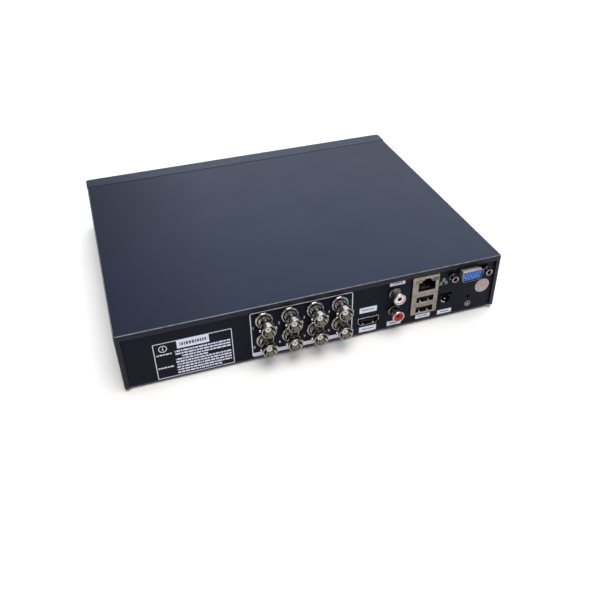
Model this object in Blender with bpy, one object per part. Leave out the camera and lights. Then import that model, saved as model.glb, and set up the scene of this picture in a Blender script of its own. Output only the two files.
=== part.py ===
"""Eight-channel video recorder in a steel case: a folded tray and cover, a moulded front with keys,
two circuit boards, a hard drive and the sockets along the rear.

Frame: +X to the right seen from the front, +Y towards the rear, +Z up. The origin is under the
middle of the recorder, on the surface it stands on. Sizes are in millimetres.
"""

from math import asin, cos, hypot, pi, radians, sin, tan

import bmesh
import bpy
from mathutils import Vector

MM = 0.001

# ---------------------------------------------------------------- driving dimensions
CASE_WIDTH = 255.0
CASE_DEPTH = 212.0
CASE_HEIGHT = 41.2
FOOT_HEIGHT = 2.8
BNC_REACH = 12.0  # how far the BNC sockets stand out behind the case
KEY_PROUD = 0.6  # how far the keys stand out in front of the fascia
SHEET = 1.0  # steel of the tray and the cover
GAP = 0.3  # clearance between pieces that touch
KEY_TRAVEL = 0.8

FRONT_Y = KEY_PROUD - (CASE_DEPTH + BNC_REACH + KEY_PROUD) / 2
REAR_Y = FRONT_Y + CASE_DEPTH
BOTTOM_Z = FOOT_HEIGHT
TOP_Z = FOOT_HEIGHT + CASE_HEIGHT
HALF_WIDTH = CASE_WIDTH / 2

# The fascia and the seam behind it
FASCIA_DEPTH = 17.0
SEAM = 0.5
COVER_BEND = 1.4
COVER_FRONT_Y = FRONT_Y + FASCIA_DEPTH + SEAM
FASCIA_TOP_RADIUS = 5.0
FASCIA_BOTTOM_RADIUS = 1.5
FASCIA_END_RADIUS = 1.6  # upright corners, seen from above
FASCIA_FOOT_RADIUS = 3.0  # bottom corners, seen from the front
FASCIA_WALL = 2.0
CAVITY_Y = FRONT_Y + 4.4

# The perforated recess along the top of the fascia and the sloped strip along its bottom
RECESS_X = -1.5
RECESS_TOP_HALF = 74.0
RECESS_BOTTOM_HALF = 58.0
RECESS_TOP_Z = 41.7
RECESS_BOTTOM_Z = 27.8
RECESS_DEPTH = 2.4
RECESS_RADIUS = 9.0
STRIP_TOP_Z = 11.2
STRIP_TOP_HALF = 62.0
STRIP_BOTTOM_HALF = 74.0
STRIP_DEPTH = 3.0

# The rear panel, set in behind the cover's lips
SIDE_LIP = 3.2
TOP_LIP = 3.9
PANEL_Y = REAR_Y - SHEET - GAP
PANEL_BACK_Y = PANEL_Y - SHEET
TRAY_HALF = HALF_WIDTH - SHEET - GAP
TRAY_FLANGE = 11.0

# Circuit boards
BOARD_THICK = 1.6
BOARD_TOP = 8.6
ON_BOARD = BOARD_TOP + GAP  # underside of what is soldered to the main board
BOARD_X = (-122.0, 62.0)
BOARD_Y = (14.0, 97.0)
KEY_BOARD_Y = FRONT_Y + 13.0
KEY_BOARD_X = (29.0, 121.0)
KEY_BOARD_Z = (6.2, 40.4)
SWITCH_HEIGHT = 3.6

# Sockets along the rear: centres as (x, z)
BNC_COLUMNS = (37.4, 20.7, 4.0, -12.7)
BNC_ROWS = (32.4, 16.9)
BNC_HOLE = 5.05
HDMI = (-33.2, 12.8)
RCA_X = -51.3
RCA_TOP_Z = 30.8
RCA_BOTTOM_Z = 16.7
RCA_HOLE = 4.6
JACK_X = (-82.6, -63.5)
JACK_Z = (ON_BOARD, 39.6)
JACK_REACH = 1.2
LAN_X = -73.9
USB_X = -73.3
USB_ROWS = (21.0, 12.7)
USB_OPENING = (12.4, 4.9)
DC = (-89.3, 16.2)
RESET = (-107.1, 14.0)
RESET_RADIUS = 1.25
VGA = (-104.2, 35.3)
VGA_REACH = 6.0
VGA_SCREW_SPACING = 25.0

# Keys on the fascia: centres as (x, z)
DPAD = (100.5, 20.1)
DPAD_HOLE = 15.0
SMALL_KEY_HOLE = 3.85
MENU = (79.1, 31.2)
ESC = (79.1, 8.6)
LEDS_X = (46.7, 56.7, 67.0)
LED_Z = 18.6
LED_HOLE = 0.9
IR = (33.9, 19.0)
IR_HOLE = 3.6

# Hard drive and feet
DRIVE_X = (-116.0, 31.0)
DRIVE_Y = (-91.0, 10.6)
DRIVE_Z = (6.2, 32.3)
FOOT_RADIUS = 6.5
FEET = [(x, y) for x in (-108.0, 108.0) for y in (-84.0, 84.0)]
SIDE_SCREW = (40.0, 10.0)  # y and z of the screw in each side


# ---------------------------------------------------------------- materials and objects
def material(name, colour, roughness, metallic=0.0):
    made = bpy.data.materials.new(name)
    made.use_nodes = True
    shader = made.node_tree.nodes["Principled BSDF"]
    shader.inputs["Base Color"].default_value = (*colour, 1.0)
    shader.inputs["Roughness"].default_value = roughness
    shader.inputs["Metallic"].default_value = metallic
    return made


def solid(name, finish, *shapes, at=(0, 0, 0)):
    """An object made of (points, faces) shapes, its origin at a point."""
    bm = bmesh.new()
    for points, faces in shapes:
        verts = [bm.verts.new(Vector(p) * MM) for p in points]
        for face in faces:
            bm.faces.new([verts[i] for i in face])
    bmesh.ops.recalc_face_normals(bm, faces=bm.faces)
    mesh = bpy.data.meshes.new(name)
    bm.to_mesh(mesh)
    bm.free()
    if finish is not None:
        mesh.materials.append(finish)
    obj = bpy.data.objects.new(name, mesh)
    obj.location = Vector(at) * MM
    bpy.context.scene.collection.objects.link(obj)
    return obj


def smooth(obj, angle=35):
    obj.data.shade_smooth()
    obj.data.set_sharp_from_angle(angle=radians(angle))
    return obj


def copies(first, names, places):
    """More objects like the first. Its modifiers are applied, so that all share the finished mesh."""
    graph = bpy.context.evaluated_depsgraph_get()
    finished = bpy.data.meshes.new_from_object(first.evaluated_get(graph))
    first.modifiers.clear()
    first.data = finished
    for name, place in zip(names, places):
        obj = first.copy()
        obj.name = name
        obj.location = Vector(place) * MM
        bpy.context.scene.collection.objects.link(obj)


def combine(obj, operation, label, *shapes):
    """Cuts the shapes out of an object, or adds them to it. They must not cross each other."""
    tool = solid(f"{obj.name}_{label}", None, *shapes, at=obj.location / MM)
    tool.hide_render = True
    tool.display_type = "WIRE"
    boolean = obj.modifiers.new(label, "BOOLEAN")
    boolean.operation = operation
    boolean.object = tool
    boolean.solver = "EXACT"


def cut(obj, label, *shapes):
    combine(obj, "DIFFERENCE", label, *shapes)


def add(obj, label, *shapes):
    combine(obj, "UNION", label, *shapes)


def bevel(obj, width, segments=1, angle=40):
    mod = obj.modifiers.new("bevel", "BEVEL")
    mod.width = width * MM
    mod.segments = segments
    mod.limit_method = "ANGLE"
    mod.angle_limit = radians(angle)


# ---------------------------------------------------------------- shapes: (points, faces)
def placed(axis, a, b, along):
    """The point with section coordinates a and b, at a distance along the axis."""
    return {"X": (along, a, b), "Y": (a, along, b), "Z": (a, b, along)}[axis]


def stack(levels, axis):
    """A solid through outlines of equal length, each an (outline, distance along the axis) pair."""
    count = len(levels[0][0])
    points = [placed(axis, a, b, along) for outline, along in levels for a, b in outline]
    faces = [tuple(range(count)), tuple(range(len(points) - count, len(points)))]
    for level in range(len(levels) - 1):
        base = level * count
        for i in range(count):
            j = (i + 1) % count
            faces.append((base + i, base + j, base + count + j, base + count + i))
    return points, faces


def prism(outline, axis, low, high):
    return stack([(outline, low), (outline, high)], axis)


def rectangle(a0, a1, b0, b1):
    return [(a0, b0), (a1, b0), (a1, b1), (a0, b1)]


def box(xs, ys, zs):
    return prism(rectangle(*xs, *ys), "Z", *zs)


def around(centre, half):
    return centre - half, centre + half


def circle(radius, sides, centre=(0.0, 0.0), turn=0.0):
    steps = [2 * pi * i / sides + turn for i in range(sides)]
    return [(centre[0] + radius * cos(t), centre[1] + radius * sin(t)) for t in steps]


def rod(centre, radius, sides, axis, low, high):
    return prism(circle(radius, sides, centre), axis, low, high)


def turned(profile, sides, centre=(0.0, 0.0)):
    """A solid turned about a line along Y. The profile is (radius, y) points: a closed loop for
    a ring, or one that starts and ends on the line for a solid piece."""
    points, rings = [], []
    for radius, y in profile:
        count = sides if radius > 0 else 1
        rings.append(list(range(len(points), len(points) + count)))
        outline = circle(radius, sides, centre)[:count] if radius > 0 else [centre]
        points += [(a, y, b) for a, b in outline]
    open_ended = len(rings[0]) == 1
    pairs = list(zip(rings, rings[1:] if open_ended else rings[1:] + rings[:1]))
    faces = []
    for ring, following in pairs:
        for i in range(sides):
            j = (i + 1) % sides
            corners = [ring[i % len(ring)], ring[j % len(ring)]]
            corners += [following[j % len(following)], following[i % len(following)]]
            faces.append(tuple(dict.fromkeys(corners)))
    return points, faces


def rounded(corners, steps=4):
    """An outline from (a, b, radius) corners, with an arc at each corner that has a radius."""
    outline = []
    for i, (a, b, radius) in enumerate(corners):
        if radius <= 0:
            outline.append((a, b))
            continue
        here = Vector((a, b))
        to_last = (Vector(corners[i - 1][:2]) - here).normalized()
        to_next = (Vector(corners[(i + 1) % len(corners)][:2]) - here).normalized()
        half = to_last.angle(to_next) / 2
        centre = here + (to_last + to_next).normalized() * (radius / sin(half))
        start = here + to_last * (radius / tan(half)) - centre
        end = here + to_next * (radius / tan(half)) - centre
        sweep = start.angle_signed(end)
        for step in range(steps + 1):
            turn = -sweep * step / steps
            outline.append((centre.x + start.x * cos(turn) - start.y * sin(turn),
                            centre.y + start.x * sin(turn) + start.y * cos(turn)))
    return outline


def sector(inner, outer, half_gap, facing, steps=6):
    """A quarter of a ring facing an angle in degrees, its straight sides parallel to the diagonals."""
    def edge(radius):
        spread = pi / 4 - asin(half_gap / radius)
        return [radians(facing) + spread * (2 * i / steps - 1) for i in range(steps + 1)]

    outline = [(outer * cos(t), outer * sin(t)) for t in edge(outer)]
    return outline + [(inner * cos(t), inner * sin(t)) for t in reversed(edge(inner))]


def strap(route, thickness, zs):
    """A flat cable on edge: a strip of even thickness along a route of (x, y) points."""
    left, right = [], []
    for i, (x, y) in enumerate(route):
        before, after = route[max(i - 1, 0)], route[min(i + 1, len(route) - 1)]
        dx, dy = after[0] - before[0], after[1] - before[1]
        across = thickness / 2 / hypot(dx, dy)
        left.append((x - dy * across, y + dx * across))
        right.append((x + dy * across, y - dx * across))
    return prism(left + right[::-1], "Z", *zs)


def swept(start, pull_start, pull_end, end, steps=12):
    """Points on a cubic curve between two ends, drawn towards its two middle points."""
    route = []
    for i in range(steps + 1):
        t = i / steps
        weights = ((1 - t) ** 3, 3 * t * (1 - t) ** 2, 3 * t * t * (1 - t), t**3)
        ends = (start, pull_start, pull_end, end)
        route.append(tuple(sum(w * p[k] for w, p in zip(weights, ends)) for k in (0, 1)))
    return route


# ---------------------------------------------------------------- outlines used more than once
def d_outline(half_width, half_height, centre=(0.0, 0.0)):
    """The VGA socket's D shape: wide at the top, its sides leaning in by 10 degrees."""
    lean = 2 * half_height * tan(radians(10))
    x, z = centre
    top, low = half_width, half_width - lean
    return rounded([(x + top, z + half_height, 1.6), (x + low, z - half_height, 1.6),
                    (x - low, z - half_height, 1.6), (x - top, z + half_height, 1.6)], 2)


def hdmi_outline(half_width, half_height):
    """A rectangle with its two lower corners cut off."""
    x, z = HDMI
    notch = half_height * 0.7
    return [(x - half_width, z + half_height), (x + half_width, z + half_height),
            (x + half_width, z - half_height + notch), (x + half_width - notch, z - half_height),
            (x - half_width + notch, z - half_height), (x - half_width, z - half_height + notch)]


def fascia_outline(front_inset, foot_inset):
    """Side view of the fascia (y, z), its front face and its underside drawn in at the ends."""
    front, bottom = FRONT_Y + front_inset, BOTTOM_Z + foot_inset
    back = FRONT_Y + FASCIA_DEPTH
    return rounded([(back, TOP_Z, 0), (back, bottom, 0), (front, bottom, FASCIA_BOTTOM_RADIUS),
                    (front, TOP_Z, FASCIA_TOP_RADIUS)])


# ---------------------------------------------------------------- case
def make_tray(steel):
    """Base plate, side flanges, rear panel with the socket cut-outs, and pressed standoffs."""
    front = COVER_FRONT_Y + GAP
    floor_top = BOTTOM_Z + SHEET
    side = (BOTTOM_Z, BOTTOM_Z + TRAY_FLANGE)
    # Folded in one piece: an outer block with the inside and the space above the flanges removed.
    tray = solid("chassis_tray", steel,
                 box((-TRAY_HALF, TRAY_HALF), (front, PANEL_Y), (BOTTOM_Z, TOP_Z - SHEET - GAP)))
    cut(tray, "inside", box(around(0, TRAY_HALF - SHEET), (front - 1, PANEL_BACK_Y), (floor_top, TOP_Z)))
    cut(tray, "above_flanges",
        box(around(0, TRAY_HALF + 1), (front - 2, PANEL_BACK_Y - 0.01), (side[1], TOP_Z + 1)))
    through = (PANEL_BACK_Y - 1, PANEL_Y + 1)
    holes = [rod((x, z), BNC_HOLE, 20, "Y", *through) for x in BNC_COLUMNS for z in BNC_ROWS]
    holes += [rod((RCA_X, z), RCA_HOLE, 20, "Y", *through) for z in (RCA_TOP_Z, RCA_BOTTOM_Z)]
    holes.append(box((JACK_X[0] - GAP, JACK_X[1] + GAP), through, (JACK_Z[0] - GAP, JACK_Z[1] + GAP)))
    holes.append(box(around(HDMI[0], 7.8), through, around(HDMI[1], 3.6)))
    holes.append(box(around(DC[0], 4.8), through, (ON_BOARD - GAP, DC[1] + 4.9)))
    holes.append(rod(RESET, RESET_RADIUS, 12, "Y", *through))
    holes.append(prism(d_outline(8.8, 4.7, VGA), "Y", *through))
    holes += [rod((VGA[0] + s * VGA_SCREW_SPACING / 2, VGA[1]), 1.8, 10, "Y", *through) for s in (-1, 1)]
    cut(tray, "socket_holes", *holes)
    cut(tray, "screw_holes", rod(SIDE_SCREW, 1.6, 10, "X", -HALF_WIDTH, HALF_WIDTH))
    posts = []
    for x in (BOARD_X[0] + 5, BOARD_X[1] - 5):
        for y in (BOARD_Y[0] + 5, BOARD_Y[1] - 25):
            posts.append(rod((x, y), 2.6, 10, "Z", BOTTOM_Z + 0.4, BOARD_TOP - BOARD_THICK - GAP))
    for x in (DRIVE_X[0] + 25, DRIVE_X[1] - 30):
        for y in (DRIVE_Y[0] + 4, DRIVE_Y[1] - 4):
            posts.append(rod((x, y), 3.0, 10, "Z", BOTTOM_Z + 0.4, DRIVE_Z[0] - GAP))
    add(tray, "posts", *posts)


def make_cover(steel):
    """Top and two sides folded from one sheet, with narrow lips folded in around the rear."""
    def channel(outer, top, side_wall, top_wall, corner):
        inner, under = HALF_WIDTH - side_wall, TOP_Z - top_wall
        return rounded([(-outer, BOTTOM_Z, 0), (-outer, top, corner), (outer, top, corner),
                        (outer, BOTTOM_Z, 0), (inner, BOTTOM_Z, 0), (inner, under, 0),
                        (-inner, under, 0), (-inner, BOTTOM_Z, 0)], 3)

    sheet = channel(HALF_WIDTH, TOP_Z, SHEET, SHEET, COVER_BEND)
    lips = channel(HALF_WIDTH - SHEET / 2, TOP_Z - SHEET / 2, SIDE_LIP, TOP_LIP, 0)
    cover = solid("top_cover", steel, prism(sheet, "Y", COVER_FRONT_Y, REAR_Y))
    add(cover, "rear_lips", prism(lips, "Y", REAR_Y - SHEET, REAR_Y))
    slots = []
    for side in (-1, 1):
        wall = sorted((side * (HALF_WIDTH - 3), side * (HALF_WIDTH + 1)))
        for i in range(10):
            slots.append(box(wall, around(-62.0 + 6.0 * i, 1.25), (16.0, 32.0)))
    cut(cover, "side_slots", *slots)
    cut(cover, "screw_holes", rod(SIDE_SCREW, 3.3, 16, "X", -HALF_WIDTH - 1, HALF_WIDTH + 1))
    smooth(cover)


def make_fascia(plastic):
    """Moulded front, hollow behind, with the recess, the sloped strip and the key openings."""
    turns = [i * pi / 6 for i in range(4)]
    ends = [(fascia_outline(FASCIA_END_RADIUS * (1 - sin(t)), FASCIA_FOOT_RADIUS * (1 - sin(t))),
             HALF_WIDTH - FASCIA_FOOT_RADIUS * (1 - cos(t))) for t in turns]
    levels = [(outline, -x) for outline, x in ends] + ends[::-1]
    fascia = solid("front_fascia", plastic, stack(levels, "X"))

    back = FRONT_Y + FASCIA_DEPTH + 1
    inside_z = (BOTTOM_Z + FASCIA_WALL, TOP_Z - FASCIA_WALL)
    cut(fascia, "inside", box(around(0, HALF_WIDTH - FASCIA_WALL), (CAVITY_Y, back), inside_z))
    thin = (FRONT_Y + FASCIA_WALL, CAVITY_Y + 0.5)
    cut(fascia, "thin_behind_keys", box((73.9, 122.0), thin, (5.2, 38.0)))
    cut(fascia, "thin_behind_lamps", box((27.0, 73.0), thin, (13.0, 25.0)))

    corners = [(RECESS_TOP_HALF, RECESS_TOP_Z, 0), (RECESS_BOTTOM_HALF, RECESS_BOTTOM_Z, RECESS_RADIUS)]
    right = [(RECESS_X + half, z, radius) for half, z, radius in corners]
    left = [(RECESS_X - half, z, radius) for half, z, radius in reversed(corners)]
    cut(fascia, "recess", prism(rounded(right + left), "Y", FRONT_Y - 1, FRONT_Y + RECESS_DEPTH))
    low = rectangle(*around(RECESS_X, STRIP_BOTTOM_HALF), FRONT_Y - 1, FRONT_Y + STRIP_DEPTH)
    high = rectangle(*around(RECESS_X, STRIP_TOP_HALF), FRONT_Y - 1, FRONT_Y)
    cut(fascia, "strip", stack([(low, BOTTOM_Z - 0.2), (high, STRIP_TOP_Z)], "Z"))

    through = (FRONT_Y - 1, CAVITY_Y - 1)
    openings = [rod(DPAD, DPAD_HOLE, 32, "Y", *through)]
    openings += [rod(key, SMALL_KEY_HOLE, 16, "Y", *through) for key in (MENU, ESC)]
    openings += [rod((x, LED_Z), LED_HOLE, 8, "Y", *through) for x in LEDS_X]
    openings.append(rod(IR, IR_HOLE, 16, "Y", *through))
    cut(fascia, "openings", *openings)

    hook_y = (COVER_FRONT_Y - 5, COVER_FRONT_Y + 3)
    hook_z = (BOTTOM_Z + SHEET + GAP, BOTTOM_Z + SHEET + GAP + 1.6)
    add(fascia, "hooks", *[box(around(x, 6), hook_y, hook_z) for x in (-90.0, -30.0, 30.0, 90.0)])
    smooth(fascia)


def make_feet(rubber):
    level = BOTTOM_Z - GAP
    rings = ((FOOT_RADIUS - 0.5, 0), (FOOT_RADIUS, 0.6), (FOOT_RADIUS, level))
    outlines = [(circle(r, 20), z) for r, z in rings]
    places = [(x, y, 0) for x, y in FEET]
    foot = smooth(solid("foot_1", rubber, stack(outlines, "Z"), at=places[0]))
    copies(foot, ("foot_2", "foot_3", "foot_4"), places[1:])


def make_side_screws(zinc):
    """A flush screw through each side of the cover into the tray's flange."""
    for name, side in (("cover_screw_left", -1), ("cover_screw_right", 1)):
        head, neck, tip = HALF_WIDTH - 0.1, TRAY_HALF + GAP, TRAY_HALF - 5.0
        levels = [(3.0, head), (3.0, neck), (1.3, neck), (1.3, tip)]
        screw = solid(name, zinc, stack([(circle(r, 16, SIDE_SCREW), side * x) for r, x in levels], "X"))
        y, z = SIDE_SCREW
        for turn in (0, 1):
            bar = (around(y, 1.8), around(z, 0.35)) if turn == 0 else (around(y, 0.35), around(z, 1.8))
            reach = sorted((side * (head - 0.5), side * (head + 1)))
            cut(screw, f"slot_{turn}", box(reach, *bar))


# ---------------------------------------------------------------- inside the case
def make_main_board(laminate):
    """Main circuit board with the parts soldered to it."""
    under = BOARD_TOP - BOARD_THICK
    board = solid("main_board", laminate, box(BOARD_X, BOARD_Y, (under, BOARD_TOP)))
    sunk = BOARD_TOP - 0.3
    chips = [(0.0, 45.0, 11.0, 11.0, 1.8), (-24.0, 45.0, 6.0, 9.0, 1.1), (24.0, 45.0, 6.0, 9.0, 1.1),
             (-46.0, 46.0, 7.0, 7.0, 1.2), (14.0, 68.0, 8.0, 4.0, 1.4), (-16.0, 68.0, 5.0, 5.0, 1.4),
             (-74.0, 60.0, 6.0, 6.0, 4.0), (-100.0, 52.0, 8.0, 6.0, 2.0)]
    parts = [box(around(x, half_x), around(y, half_y), (sunk, BOARD_TOP + tall))
             for x, y, half_x, half_y, tall in chips]
    parts += [rod((x, 30.0), 4.0, 12, "Z", sunk, BOARD_TOP + 11.0) for x in (-110.0, -98.0, -86.0)]
    parts.append(rod((-60.0, 28.0), 10.0, 20, "Z", sunk, BOARD_TOP + 3.6))
    parts.append(box(around(46.0, 4.0), (19.0, 27.0), (sunk, BOARD_TOP + 8.0)))
    parts.append(box(around(57.0, 4.0), (19.0, 24.0), (sunk, BOARD_TOP + 6.0)))
    add(board, "soldered_parts", *parts)


def make_heat_sink(aluminium):
    low = BOARD_TOP + 1.8 + GAP
    sink = solid("heat_sink", aluminium, box(around(0, 14.0), around(45.0, 14.0), (low, low + 10.0)))
    pitch, first = 4.4, -11.0
    channels = [box(around(first + pitch * i, 1.3), around(45.0, 16.0), (low + 2.5, low + 12.0))
                for i in range(6)]
    cut(sink, "channels", *channels)


def make_drive(casting):
    """3.5 inch drive on the tray's posts, its sockets facing +X."""
    corners = [(DRIVE_X[0], DRIVE_Y[0], 3), (DRIVE_X[1], DRIVE_Y[0], 3),
               (DRIVE_X[1], DRIVE_Y[1], 3), (DRIVE_X[0], DRIVE_Y[1], 3)]
    lid = [(x + (2 if x < 0 else -2), y + (2 if y < 0 else -2), 8) for x, y, _ in corners]
    drive = solid("hard_drive", casting,
                  stack([(rounded(corners, 2), DRIVE_Z[0]), (rounded(corners, 2), DRIVE_Z[1] - 2.5),
                         (rounded(lid, 2), DRIVE_Z[1] - 2.5), (rounded(lid, 2), DRIVE_Z[1])], "Z"))
    end = DRIVE_X[1]
    cut(drive, "socket_bay", box((end - 6, end + 1), (-62.0, -20.0), (DRIVE_Z[0] - 1, 11.5)))
    add(drive, "socket", box((end - 6.5, end - 0.5), (-60.0, -22.0), (7.0, 9.6)))


def make_cables(grey):
    """Drive cable from the drive to the main board, and the keys' cable from the front."""
    drive_end, board_end = (DRIVE_X[1] + 0.2, -40.0), (46.0, 19.0 - GAP)
    route = swept(drive_end, (50.0, -40.0), (44.0, -10.0), board_end)
    solid("drive_cable", grey, strap(route, 1.4, (9.9, 15.9)))
    key_end, board_end = (84.0, KEY_BOARD_Y + BOARD_THICK + GAP), (57.0, 19.0 - GAP)
    route = swept(key_end, (84.0, -60.0), (57.0, -30.0), board_end)
    solid("front_ribbon", grey, strap(route, 1.0, (9.2, 14.2)))


def make_key_board(laminate):
    """Board behind the fascia with a switch behind each key."""
    back = KEY_BOARD_Y + BOARD_THICK
    board = solid("key_board", laminate, box(KEY_BOARD_X, (KEY_BOARD_Y, back), KEY_BOARD_Z))
    x, z = DPAD
    ring = [(x + 10.6 * cos(a), z + 10.6 * sin(a)) for a in (0, pi / 2, pi, 3 * pi / 2)]
    spots = [DPAD, MENU, ESC, *ring]
    depth = (KEY_BOARD_Y - SWITCH_HEIGHT, KEY_BOARD_Y + 0.3)
    add(board, "switches", *[box(around(x, 3.0), depth, around(z, 3.0)) for x, z in spots])


# ---------------------------------------------------------------- keys and lamps on the front
def make_key(name, plastic, centre, cap, flange, stem):
    """A key: chamfered cap in its opening, a flange behind the fascia and a stem to its switch.
    cap, flange and stem are outlines about the key's own centre."""
    face = -KEY_PROUD
    wall = FASCIA_WALL + GAP
    tip = KEY_BOARD_Y - SWITCH_HEIGHT - KEY_TRAVEL - 0.2 - FRONT_Y
    eased = [(a * 0.94, b * 0.94) for a, b in cap[0]] if cap[1] is None else cap[1]
    levels = [(eased, face), (cap[0], face + 0.5), (cap[0], wall), (flange, wall),
              (flange, wall + 0.9), (stem, wall + 0.9), (stem, tip)]
    smooth(solid(name, plastic, stack(levels, "Y"), at=(centre[0], FRONT_Y, centre[1])), 50)


def make_keys(plastic):
    small = circle(SMALL_KEY_HOLE - 0.4, 16)
    for name, centre in (("menu_button", MENU), ("esc_button", ESC)):
        flange = [(a, max(b, -2.9)) for a, b in circle(SMALL_KEY_HOLE + 0.5, 16)]
        make_key(name, plastic, centre, (small, None), flange, circle(1.6, 16))
    make_key("ok_button", plastic, DPAD, (circle(5.2, 20), None), circle(5.6, 20), circle(2.2, 20))
    for turn, side in enumerate(("right", "up", "left", "down")):
        facing = 90 * turn
        cap = sector(6.4, DPAD_HOLE - 0.45, 0.8, facing)
        eased = sector(6.9, DPAD_HOLE - 0.95, 1.2, facing)
        flange = sector(6.4, DPAD_HOLE - 0.45, 1.2, facing)
        stem = sector(9.4, 11.8, 5.2, facing)
        make_key(f"{side}_button", plastic, DPAD, (cap, eased), flange, stem)


def make_lamps(lens, dark_lens):
    """Three lamps and the remote control's eye, between their holes and the key board."""
    behind = KEY_BOARD_Y - GAP
    front = FRONT_Y + FASCIA_WALL + 0.4
    places = [(x, 0, LED_Z) for x in LEDS_X]
    lamp = solid("led_1", lens, turned([(0, front), (1.1, front + 0.3), (1.5, front + 1.4),
                                        (1.5, behind), (0, behind)], 10), at=places[0])
    copies(smooth(lamp), ("led_2", "led_3"), places[1:])
    eye = turned([(0, FRONT_Y + 0.9), (2.0, FRONT_Y + 1.1), (IR_HOLE - 0.4, FRONT_Y + 2.2),
                  (IR_HOLE - 0.4, behind), (0, behind)], 16, IR)
    smooth(solid("ir_window", dark_lens, eye))


# ---------------------------------------------------------------- sockets along the rear
def make_bnc(nickel, white_plastic, black_plastic):
    """Eight BNC sockets: bayonet shell through the panel, insulator with the contact hole."""
    tip = REAR_Y + BNC_REACH - PANEL_Y
    step = tip - 4.4  # where the wide mouth of the shell ends
    flange, neck, head, mouth, bore = 6.05, 3.9, 4.8, 4.1, 2.95  # radii of the shell
    through = BNC_HOLE - 0.35
    shell_profile = [(through, -SHEET), (through, GAP), (flange, GAP), (flange, 1.5), (neck, 1.5),
                     (neck, tip - 5.0), (head, tip - 5.0), (head, tip - 0.3), (head - 0.25, tip),
                     (mouth, tip - 0.2), (mouth, step), (bore, step), (bore, -SHEET)]
    core, disc, boss, contact = 2.6, 3.8, 2.3, 0.9  # radii of the insulator
    insulator_profile = [(0, -SHEET), (core, -SHEET), (core, step + GAP), (disc, step + GAP),
                         (disc, step + 0.9), (boss, step + 0.9), (boss, tip - 1.8), (contact, tip - 1.8),
                         (contact, tip - 6.0), (0, tip - 6.0)]
    places = [(x, PANEL_Y, z) for z in BNC_ROWS for x in BNC_COLUMNS]
    shell = smooth(solid("bnc_shell_1", nickel, turned(shell_profile, 16), at=places[0]))
    add(shell, "lugs", *[rod((tip - 3.2, 0), 0.9, 8, "X", side * 4.4, side * 5.8) for side in (-1, 1)])
    insulator = solid("bnc_insulator_1", white_plastic, turned(insulator_profile, 10), at=places[0])
    smooth(insulator)
    numbers = range(2, len(places) + 1)
    copies(shell, [f"bnc_shell_{n}" for n in numbers], places[1:])
    copies(insulator, [f"bnc_insulator_{n}" for n in numbers], places[1:])
    width = (BNC_COLUMNS[-1] - 6.4, BNC_COLUMNS[0] + 6.4)
    block = solid("bnc_block", black_plastic, box(width, (78.0, PANEL_BACK_Y - GAP), (ON_BOARD, 39.4)))
    bevel(block, 0.8)


def make_rca(silver, white_plastic, red_plastic, black_plastic):
    """Stacked pair of RCA sockets."""
    tip = 8.4
    barrel, barrel_bore, core, pin_hole = RCA_HOLE - 0.4, 3.55, 3.2, 1.65
    shell_profile = [(barrel, -SHEET), (barrel, tip - 0.3), (barrel - 0.25, tip), (barrel_bore, tip),
                     (barrel_bore, -SHEET)]
    insert_profile = [(0, -SHEET), (core, -SHEET), (core, tip - 0.5), (pin_hole, tip - 0.5),
                      (pin_hole, 1.5), (0, 1.5)]
    for name, z, colour in (("top", RCA_TOP_Z, white_plastic), ("bottom", RCA_BOTTOM_Z, red_plastic)):
        place = (RCA_X, PANEL_Y, z)
        smooth(solid(f"rca_shell_{name}", silver, turned(shell_profile, 20), at=place))
        smooth(solid(f"rca_insert_{name}", colour, turned(insert_profile, 16), at=place))
    block = solid("rca_block", black_plastic,
                  box(around(RCA_X, 5.2), (84.0, PANEL_BACK_Y - GAP), (ON_BOARD, 37.4)))
    bevel(block, 0.6)


def make_network_jack(silver, black_plastic):
    """Network socket above two USB sockets, in one sheet metal shell."""
    front, wall = PANEL_Y + JACK_REACH, 0.6
    shell = solid("lan_usb_shell", silver, box(JACK_X, (front - 21.0, front), JACK_Z))
    chamber_x, chamber_z = (JACK_X[0] + wall, JACK_X[1] - wall), (26.2, JACK_Z[1] - wall)
    width, height = USB_OPENING
    port_y = (front - 16.0, front + 1)
    ports = [box(around(USB_X, width / 2), port_y, around(z, height / 2)) for z in USB_ROWS]
    cut(shell, "chambers", box(chamber_x, (front - 19.0, front + 1), chamber_z), *ports)

    insert = solid("lan_insert", black_plastic,
                   box((chamber_x[0] + GAP, chamber_x[1] - GAP), (front - 18.0, front - 0.4),
                       (chamber_z[0] + GAP, chamber_z[1] - GAP)))
    mouth = [(6.0, 28.1), (6.0, 34.6), (3.5, 34.6), (3.5, 36.4), (2.0, 36.4), (2.0, 37.4)]
    outline = [(LAN_X + a, z) for a, z in mouth] + [(LAN_X - a, z) for a, z in reversed(mouth)]
    cut(insert, "mouth", prism(outline, "Y", front - 14.0, front + 1))

    # Both tongues are one moulding with the bar that joins them, which sits in the shell's rear.
    back = front - 15.7
    tongue_x, half_thick, raised = around(USB_X, 5.6), 0.95, 0.5
    tongues = solid("usb_insert", black_plastic,
                    box(tongue_x, (back, front - 1.2), around(USB_ROWS[1] + raised, half_thick)))
    passage = box(around(USB_X, 3.0), (front - 15.9, front - 12.0), (USB_ROWS[1], USB_ROWS[0]))
    cut(shell, "passage", passage)
    bar = box(around(USB_X, 2.6), (back, front - 12.4), (USB_ROWS[1], USB_ROWS[0]))
    add(tongues, "bar", bar)
    upper = box(tongue_x, (back + 0.2, front - 1.2), around(USB_ROWS[0] + raised, half_thick))
    add(tongues, "upper", upper)


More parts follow.
